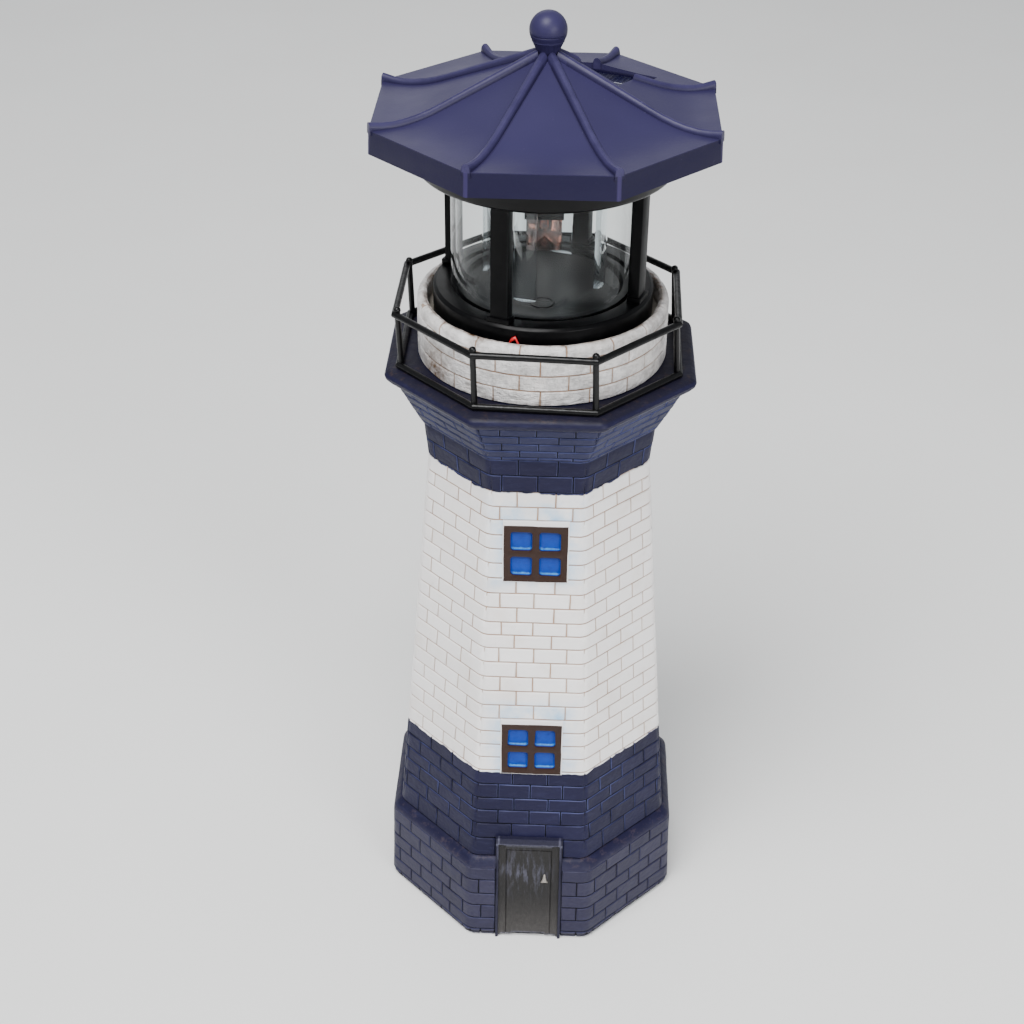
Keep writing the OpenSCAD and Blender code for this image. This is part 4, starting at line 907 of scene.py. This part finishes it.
def brick_tree():
    """Raises patches into bricks with eased edges, each a little different from the next."""
    tree = Tree("brickwork", {
        "Height": ("NodeSocketFloat", BRICK_HEIGHT * MM),
        "Ease": ("NodeSocketFloat", 0.3 * MM),
        "Wobble": ("NodeSocketFloat", 0.34 * MM),
        "Unevenness": ("NodeSocketFloat", 0.09 * MM),
        "Seed": ("NodeSocketInt", 7),
        "Material": ("NodeSocketMaterial", TOWER),
    })
    size = tree.size
    place = tree.add("GeometryNodeInputPosition")
    cloud = tree.add("ShaderNodeTexNoise", None, {"Vector": place, "Scale": 210.0, "Detail": 2.0}, "Color")
    centred = tree.add("ShaderNodeVectorMath", {"operation": "SUBTRACT"}, {0: cloud, 1: (0.5, 0.5, 0.5)})
    drift = tree.add("ShaderNodeVectorMath", {"operation": "SCALE"}, {0: centred, "Scale": size["Wobble"]})
    moved = tree.add("GeometryNodeSetPosition", None, {"Geometry": size["Geometry"], "Offset": drift})
    island = tree.add("GeometryNodeInputMeshIsland", output="Island Index")
    own = tree.add("FunctionNodeRandomValue", {"data_type": "FLOAT"},
                   {"ID": island, "Seed": size["Seed"]}, 1)
    tinted = tree.store(moved, "tint", own)
    kept = tree.store(tinted, "facing", tree.add("GeometryNodeInputNormal"), "FLOAT_VECTOR")
    raised = tree.add("GeometryNodeExtrudeMesh", {"mode": "FACES"},
                      {"Mesh": kept, "Offset Scale": size["Height"], "Individual": False})
    lifted = tree.store(raised, "lift", Number(tree, raised.socket.node.outputs["Top"]))
    sunk = tree.named("rim") * size["Ease"] + tree.named("tint") * size["Unevenness"]
    shift = tree.add("ShaderNodeVectorMath", {"operation": "SCALE"},
                     {0: tree.named("facing", "FLOAT_VECTOR"), "Scale": sunk * -1.0 * tree.named("lift")})
    tree.end(tree.add("GeometryNodeSetPosition", None, {"Geometry": lifted, "Offset": shift}))
    return tree


def brickwork(name, cells, tree):
    patches = add_object(name, mesh_from(name, cells.points, cells.faces, rim=cells.rim))
    bricks = reshaped(tree.apply(patches), lambda x, y, z: (x, y, max(z, 0.0)))
    shade(bricks.data, 30)
    return bricks


def eroded_rim(x, y, z):
    """Wears the parapet's bricks, most at the top."""
    place = Vector((x, y, z))
    top = min(1.0, max(0.0, (z - PARAPET_TOP + 6) / 4))
    chip = max(0.0, noise.noise(place * 0.32) + 0.1)
    wave = max(0.0, noise.noise(place * 0.11 + Vector((7, 0, 0))))
    sink = chip * (0.16 + 0.24 * top) + wave * 0.22 * top
    pull = 1 - sink * 0.7 / hypot(x, y)
    return x * pull, y * pull, z - sink * top


# ---- windows and door


def on_front(x, depth, height, z):
    """A point on the leaning front face: x across, depth into the wall, height up the slope from level z."""
    r = casting_at(z)[0] if z > SHAFT_FOOT else SHAFT_FLAT
    y = -r + depth * cos(LEAN) + height * sin(LEAN)
    return x, y, z - depth * sin(LEAN) + height * cos(LEAN)


def rounded_square(half, radius, steps=4):
    """Points round a square with round corners, from the middle of its right edge."""
    points = []
    for cx, cy, a0 in ((1, 1, 0), (-1, 1, 90), (-1, -1, 180), (1, -1, 270)):
        for k in range(steps + 1):
            a = radians(a0 + 90 * k / steps)
            points.append((cx * (half - radius) + radius * cos(a),
                           cy * (half - radius) + radius * sin(a)))
    return points


# Loops round a pane, outside to inside: share of its size, depth, pane mark, least fall mark, its growth
PANE_LOOPS = ((1.05, -0.8, 0, 0, 0), (1, -0.66, 0.3, 0, 0), (0.97, 0.5, 0.8, 0, 1), (0.86, 0.95, 1, 0, 0.94),
              (0.4, 0.98, 1, 0.3, 0.3))
# Loops round the frame: growth, depth, mark of the white surround
FRAME_LOOPS = ((0, -0.8, 0), (0.16, -0.66, 0.2), (0.2, -0.45, 0.75), (0.45, -0.4, 1), (0.6, -0.25, 1),
               (0.62, 1.2, 1))


def window(z, name):
    """A four-pane window: white surround, brown frame, blue panes with soft corners."""
    half, border, bar = 11.1, 2.2, 2.5
    pane = (2 * half - 2 * border - bar) / 2
    points, faces, marks = [], [], {"pane": [], "fall": [], "side": []}

    def add(x, depth, height, pane_mark=0.0, fall=0.0, side=0.0):
        wave = 0.2 * noise.noise(Vector((x * 0.4, height * 0.4, z * 0.1)))
        points.append(on_front(x + wave, depth + wave * 0.3, height + wave, z))
        for key, value in (("pane", pane_mark), ("fall", fall), ("side", side)):
            marks[key].append(value)
        return len(points) - 1

    stops = set()
    hole = rounded_square(pane / 2, 1.1)
    for sx in (-1, 1):
        for sz in (-1, 1):
            cx, cz = sx * (pane + bar) / 2, sz * (pane + bar) / 2
            left, right = sorted((0.0, sx * half))
            bottom, top = sorted((0.0, sz * half))
            quarter = []
            for px, pz in hole:
                reach = max(abs(px), abs(pz))
                quarter.append((left + (right - left) * (px / reach + 1) / 2,
                                bottom + (top - bottom) * (pz / reach + 1) / 2))
            stops |= {round(px, 4) for px, pz in quarter if abs(abs(pz) - half) < 1e-6}
            loops = [[add(px, -0.8, pz) for px, pz in quarter]]
            for share, depth, mark, least, growth in PANE_LOOPS:
                loops.append([add(cx + px * share, depth, cz + pz * share, mark,
                                  least + (0.5 - pz / pane) * growth) for px, pz in hole])
            middle = add(cx, 0.98, cz, 1.0, 0.45)
            for a, b in zip(loops, loops[1:]):
                faces += loop_faces(a, b)
            inner = loops[-1]
            faces += [(inner[i], inner[(i + 1) % len(inner)], middle) for i in range(len(inner))]

    # The loops round the frame meet the quarters' outline point for point
    stops = sorted(stops)[:-1]
    outline = [(s, -half) for s in stops] + [(half, s) for s in stops]
    outline += [(-s, half) for s in stops] + [(-half, -s) for s in stops]
    loops = []
    for grow, depth, side in FRAME_LOOPS:
        k = (half + grow) / half
        header = 1.3 if grow > 0.4 else 0.0
        loops.append([add(px * k, depth, pz * k + header * (pz == half), side=side) for px, pz in outline])
    for a, b in zip(loops, loops[1:]):
        faces += loop_faces(a, b)
    faces.append(tuple(reversed(loops[-1])))
    return closed(name, points, faces, WINDOW, 38, join=0.03, **marks)


def door():
    """Door, casing, lintel and the arched gap under it, as one relief on the leaning front face."""
    casing, lintel, stile, groove, depth, arch, gap = 1.1, 3.0, 2.8, 0.5, 0.9, 1.9, 3.2
    inner = DOOR_HALF - casing
    panel = inner - stile
    door_top = DOOR_TOP - lintel
    panel_top = door_top - stile

    def lines(stops, step):
        """Grid lines with a pair round each stop."""
        places = set()
        for a, b in zip(stops, stops[1:]):
            count = max(1, round((b - a) / step))
            places |= {a + (b - a) * k / count for k in range(count + 1)}
        for s in stops[1:-1]:
            places |= {s - 0.14, s + 0.14}
        ordered = sorted(places)
        return [p for i, p in enumerate(ordered) if i == 0 or p - ordered[i - 1] > 0.05]

    def relief(x, v):
        """Depth below the casing's face, how far it is the door's panel, and how much painted highlight it
        takes as an edge.
        """
        rough = noise.noise(Vector((x * 1.6, v * 0.22, 5.0))) * 0.09
        rough += noise.noise(Vector((x, v, 9.0)) * 0.5) * 0.08
        lip = 0.35 * noise.noise(Vector((x * 0.3, 2.0, 0.0)))
        if abs(x) > inner or v > door_top + lip:
            near_edge = min(DOOR_HALF - abs(x), DOOR_TOP - v)
            near_hole = min(abs(abs(x) - inner), abs(v - (door_top + lip)))
            return rough + (0.18 if near_edge < 0.1 else 0), 0.0, float(near_hole < 0.45 and v > SHAFT_FOOT)
        bow = arch * (1 - (x / inner) ** 2) ** 0.5 if abs(x) < inner else 0
        if v < bow:
            return gap, 1.0, 0.0
        off_x = abs(abs(x) - (panel - groove / 2))
        off_v = abs(v - (panel_top - groove / 2))
        in_frame = abs(x) > panel or v > panel_top
        in_groove = (off_x < groove / 2 and v < panel_top) or (off_v < groove / 2 and abs(x) < panel)
        plank = 0.10 * (abs(sin(x * 0.62)) < 0.12)
        deep = depth + (0.4 if in_groove else 0) + (0 if in_frame else plank) + rough
        under_lintel = v > door_top + lip - 1.1 and abs(x) < panel
        return deep, 1.0, 0.8 if under_lintel else float(v < bow + 0.8)

    xs = lines([-DOOR_HALF, -inner, -panel, -panel + groove, panel - groove, panel, inner, DOOR_HALF], 0.55)
    zs = lines([0, panel_top - groove, panel_top, door_top, DOOR_TOP], 0.8)
    width, last = len(xs), len(zs) - 1
    points, panel_mark, edge_highlight_mark = [], [], []
    for v in zs:
        for x in xs:
            deep, is_panel, mark = relief(x, v)
            px, py, _ = on_front(x, -DOOR_PROUD + deep, (v - SHAFT_FOOT) / cos(LEAN), SHAFT_FOOT)
            points.append((px, max(py, DOOR_FRONT + 0.15 * max(deep, 0.0)), v))
            panel_mark.append(is_panel)
            edge_highlight_mark.append(mark)
    border = list(range(width)) + [r * width + width - 1 for r in range(1, last + 1)]
    border += [last * width + c for c in range(width - 2, -1, -1)]
    border += [r * width for r in range(last - 1, 0, -1)]
    back = [len(points) + k for k in range(len(border))]
    points += [(points[i][0], door_plane(points[i][2], -1.6), points[i][2]) for i in border]
    panel_mark += [0.0] * len(border)
    edge_highlight_mark += [0.0] * len(border)
    faces = grid_faces(len(zs), width) + loop_faces(border[::-1], back[::-1]) + [tuple(back)]
    return closed("door", points, faces, DOOR, 30, panel=panel_mark, edge=edge_highlight_mark)


def door_knob():
    """A pale three-sided handle plate, thicker at its foot."""
    corners = [(-1.35, -2.0), (1.35, -2.0), (0.9, -1.2), (0.25, 1.9), (-0.25, 1.9), (-0.9, -1.2)]
    points = [on_front(6.2 + x * grow, -DOOR_PROUD + 0.9 + depth, -9.5 + v * grow, SHAFT_FOOT)
              for grow, depth in ((1.0, 0.2), (1.0, -0.55), (0.72, -0.95)) for x, v in corners]
    back, edge, face = (range(k, k + 6) for k in (0, 6, 12))
    faces = loop_faces(back, edge) + loop_faces(edge, face) + [tuple(back), tuple(face)]
    return closed("door_knob", points, faces, KNOB, 30)


# ---- changes to copies of the solids


def hand_bent(x, y, z):
    """Bends the railing's wire slightly out of true, as the hand-made one is."""
    azimuth = degrees(atan2(x, -y))
    share = min(1.0, max(0.0, (z - DECK) / 20))
    for k, (foot, head) in enumerate(RAIL_BENDS):
        weight = max(0.0, 1 - abs((azimuth + 157.5 - 45 * k + 180) % 360 - 180) / 45)
        x += weight * (foot[0] + (head[0] - foot[0]) * share)
        y += weight * (foot[1] + (head[1] - foot[1]) * share)
    return x, y, z


def raised_eave(x, y, z):
    """Moves the eave up from its level in the solids to the photograph's; foot and apex stay."""
    if z > EAVE:
        z = EAVE_SEEN + (z - EAVE) * (APEX - EAVE_SEEN) / (APEX - EAVE)
    elif z > SKIRT_FOOT:
        z = SKIRT_FOOT + (z - SKIRT_FOOT) * (EAVE_SEEN - SKIRT_FOOT) / (EAVE - SKIRT_FOOT)
    return x, y, z


def slimmer_ribs(x, y, z):
    """Narrows and lowers the roof's ribs, then raises its eave."""
    radius = hypot(x, y)
    azimuth = atan2(x, -y)
    gap = (degrees(azimuth) % 45 - 22.5) * pi / 180
    across, along = radius * sin(gap), radius * cos(gap)
    bend = max(0.0, min(ROOF_FLARE, ROOF_FLARE_END - along))
    flared = bend ** 2 / (2 * ROOF_FLARE) if bend < ROOF_FLARE else ROOF_FLARE_END - ROOF_FLARE / 2 - along
    panel = EAVE + ROOF_SLOPE * flared
    if abs(across) <= 1.8 and radius >= 4.5 and z >= max(EAVE - 1.0, panel - 1.1):
        turn = azimuth - gap + asin(across * 0.84 / radius)
        x, y = radius * sin(turn), -radius * cos(turn)
        z = panel + (z - panel) * 0.7 if z > panel else z
    return raised_eave(x, y, z)


def flared_bowl(x, y, z):
    """Flares the bowl's wall outwards to its top, as its side is seen under the roof."""
    radius = hypot(x, y)
    if radius > 42.3 and z > CEILING + 0.5:
        grow = 1 + 3.4 * (z - CEILING) / (SKIRT_FOOT - CEILING) / radius
        x, y = x * grow, y * grow
    return x, y, z


def raised_loop(x, y, z):
    """Lifts the lead's loop over the parapet's rim, where the photograph shows it."""
    if y < -34.5 and z > PARAPET_TOP - 6:
        out = min(1.0, (-34.5 - y) / 2.5)
        z += 4.4 * out * exp(-((x + 8.9) / 2.3) ** 2)
    return x, y, z


def finial():
    """The ball in its cup: neck, cup with a rim line, ball with the mould's ridge round it."""
    ball_z, ball_r, turns = APEX + 8.55, 6.15, 64
    foot_z, neck_z = APEX - 5.7, APEX - 0.2
    profile = [(2.0, foot_z), (2.0, neck_z), (FINIAL_NECK, neck_z), (FINIAL_NECK, APEX + 0.7),
               (FINIAL_NECK + 0.1, APEX + 1.1), (5.1, ball_z - 3.75), (5.3, ball_z - 3.5),
               (5.3, ball_z - 3.2)]
    # Angles up the ball with how far it is sunk there; the ridge is above the sunk line
    arc = [(a, 0.0) for a in range(-30, 90, 6) if a != -12] + [(-14, 0.0), (-12.4, 0.14), (-10.5, 0.0)]
    profile += [(ball_r * cos(radians(a)) - sunk, ball_z + ball_r * sin(radians(a)))
                for a, sunk in arc]
    profile.sort(key=lambda point: point[1])
    points = [(r * cos(2 * pi * k / turns), r * sin(2 * pi * k / turns), z)
              for r, z in profile for k in range(turns)]
    starts = range(0, len(points), turns)
    faces = [face for a, b in zip(starts, starts[1:])
             for face in loop_faces(range(a, a + turns), range(b, b + turns))]
    foot, crown, last = len(points), len(points) + 1, starts[-1]
    points += [(0, 0, foot_z), (0, 0, ball_z + ball_r)]
    for k in range(turns):
        faces += [(foot, (k + 1) % turns, k), (last + k, last + (k + 1) % turns, crown)]
    return closed("finial_finished", points, faces, ROOF, 35)


# ---- put together

tree = brick_tree()
core = tower_core()
bricks = brickwork("shaft_bricks", octagon_cells(), tree)
rim_bricks = reshaped(brickwork("parapet_bricks", parapet_cells(), tree), eroded_rim)
seat(core, "tower_casting")
for piece in (bricks, rim_bricks, window(UPPER_WINDOW, "upper_window"), window(LOWER_WINDOW, "lower_window"),
              door(), door_knob()):
    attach(piece, "tower")

for node in ("rail_top", "rail_bottom", "rail_posts"):
    finished_copy(node, ENAMEL, smooth=40, change=hand_bent)
finished_copy("lantern_base", BLACK, bevel=0.14, smooth=20)
finished_copy("ceiling_bowl", BLACK, smooth=24, change=flared_bowl)
for node in ("post_1", "post_2", "post_3", "post_4", "led_holder"):
    finished_copy(node, BLACK, bevel=0.25)
finished_copy("roof_shell", ROOF, smooth=28, change=slimmer_ribs)
seat(finial(), "finial")
finished_copy("lantern_glass", CLEAR, smooth=40)
finished_copy("lens_carrier", LENS, bevel=0.25)
finished_copy("light_block", LAMP, bevel=0.3)
finished_copy("led", LED_LENS, smooth=40)
finished_copy("solar_panel", PANEL_BACK, bevel=0.25, change=raised_eave)
finished_copy("solar_cells", CELLS, bevel=0.08, change=raised_eave)
finished_copy("red_lead", INSULATION, smooth=60, change=raised_loop)
finished_copy("battery_spring", STEEL, smooth=70)

# Nodes that keep their own mesh and only take a material
KEPT_NODES = (
    (DARK, ("battery_housing", "battery_door", "gear_bridge", "switch_body")),
    (STEEL, ("housing_screws", "door_screw", "bridge_screws", "roof_screws", "idler_pin", "motor_shaft",
             "motor_can")),
    (GEAR_NYLON, ("motor_cap", "carrier_gear", "idler_gear")),
    (NICKEL, ("positive_contact", "negative_contact")),
    (BRASS, ("motor_pinion", "spindle")),
    (BLACK, ("switch_slider",)), (CELL_SLEEVE, ("battery_cell",)), (BOARD, ("circuit_board",)),
    (CHIP, ("board_chip",)), (COIL, ("board_coil",)),
)
for material, nodes in KEPT_NODES:
    for node in nodes:
        mesh = frame["nodes"][node].data
        mesh.materials.clear()
        mesh.materials.append(material)

# ---- floor, light and camera


def floor():
    points = [(-2600, -2600, 0), (2600, -2600, 0), (2600, 2600, 0), (-2600, 2600, 0)]
    plate = add_object("floor", mesh_from("floor", points, [(0, 1, 2, 3)]), FLOOR)


def area_light(name, place, aim_z, size, power):
    """A round lamp in metres and watts that looks at a height of the tower's axis."""
    lamp = bpy.data.lights.new(name, "AREA")
    lamp.shape = "DISK"
    lamp.size = size
    lamp.energy = power
    obj = bpy.data.objects.new(name, lamp)
    obj.location = place
    obj.rotation_euler = (Vector((0, 0, aim_z)) - Vector(place)).to_track_quat("-Z", "Y").to_euler()
    SCENE.collection.objects.link(obj)


def lights():
    world = bpy.data.worlds.new("studio")
    world.use_nodes = True
    sky = world.node_tree.nodes["Background"].inputs
    sky["Color"].default_value = (0.93, 0.96, 1.0, 1)
    sky["Strength"].default_value = 0.5
    SCENE.world = world
    area_light("sky_panel", (-0.35, -0.7, 1.7), 0.2, 1.1, 52)
    area_light("front_panel", (0.9, -1.3, 0.7), 0.15, 0.9, 18)
    area_light("rear_panel", (-0.2, 1.5, 0.9), 0.25, 0.9, 2)


def photo_camera():
    """The camera of the photograph, fitted to the corners of plinth, gallery, railing and roof."""
    lens = bpy.data.cameras.new("photo_camera")
    lens.sensor_width = 36
    lens.lens = 60.8976914
    lens.clip_start = 0.01
    obj = bpy.data.objects.new("photo_camera", lens)
    obj.location = (0.0085296, -0.5429673, 0.5240619)
    obj.rotation_euler = [radians(angle) for angle in (56.627859, -0.523884, 2.289026)]
    SCENE.collection.objects.link(obj)
    SCENE.camera = obj


floor()
lights()
photo_camera()
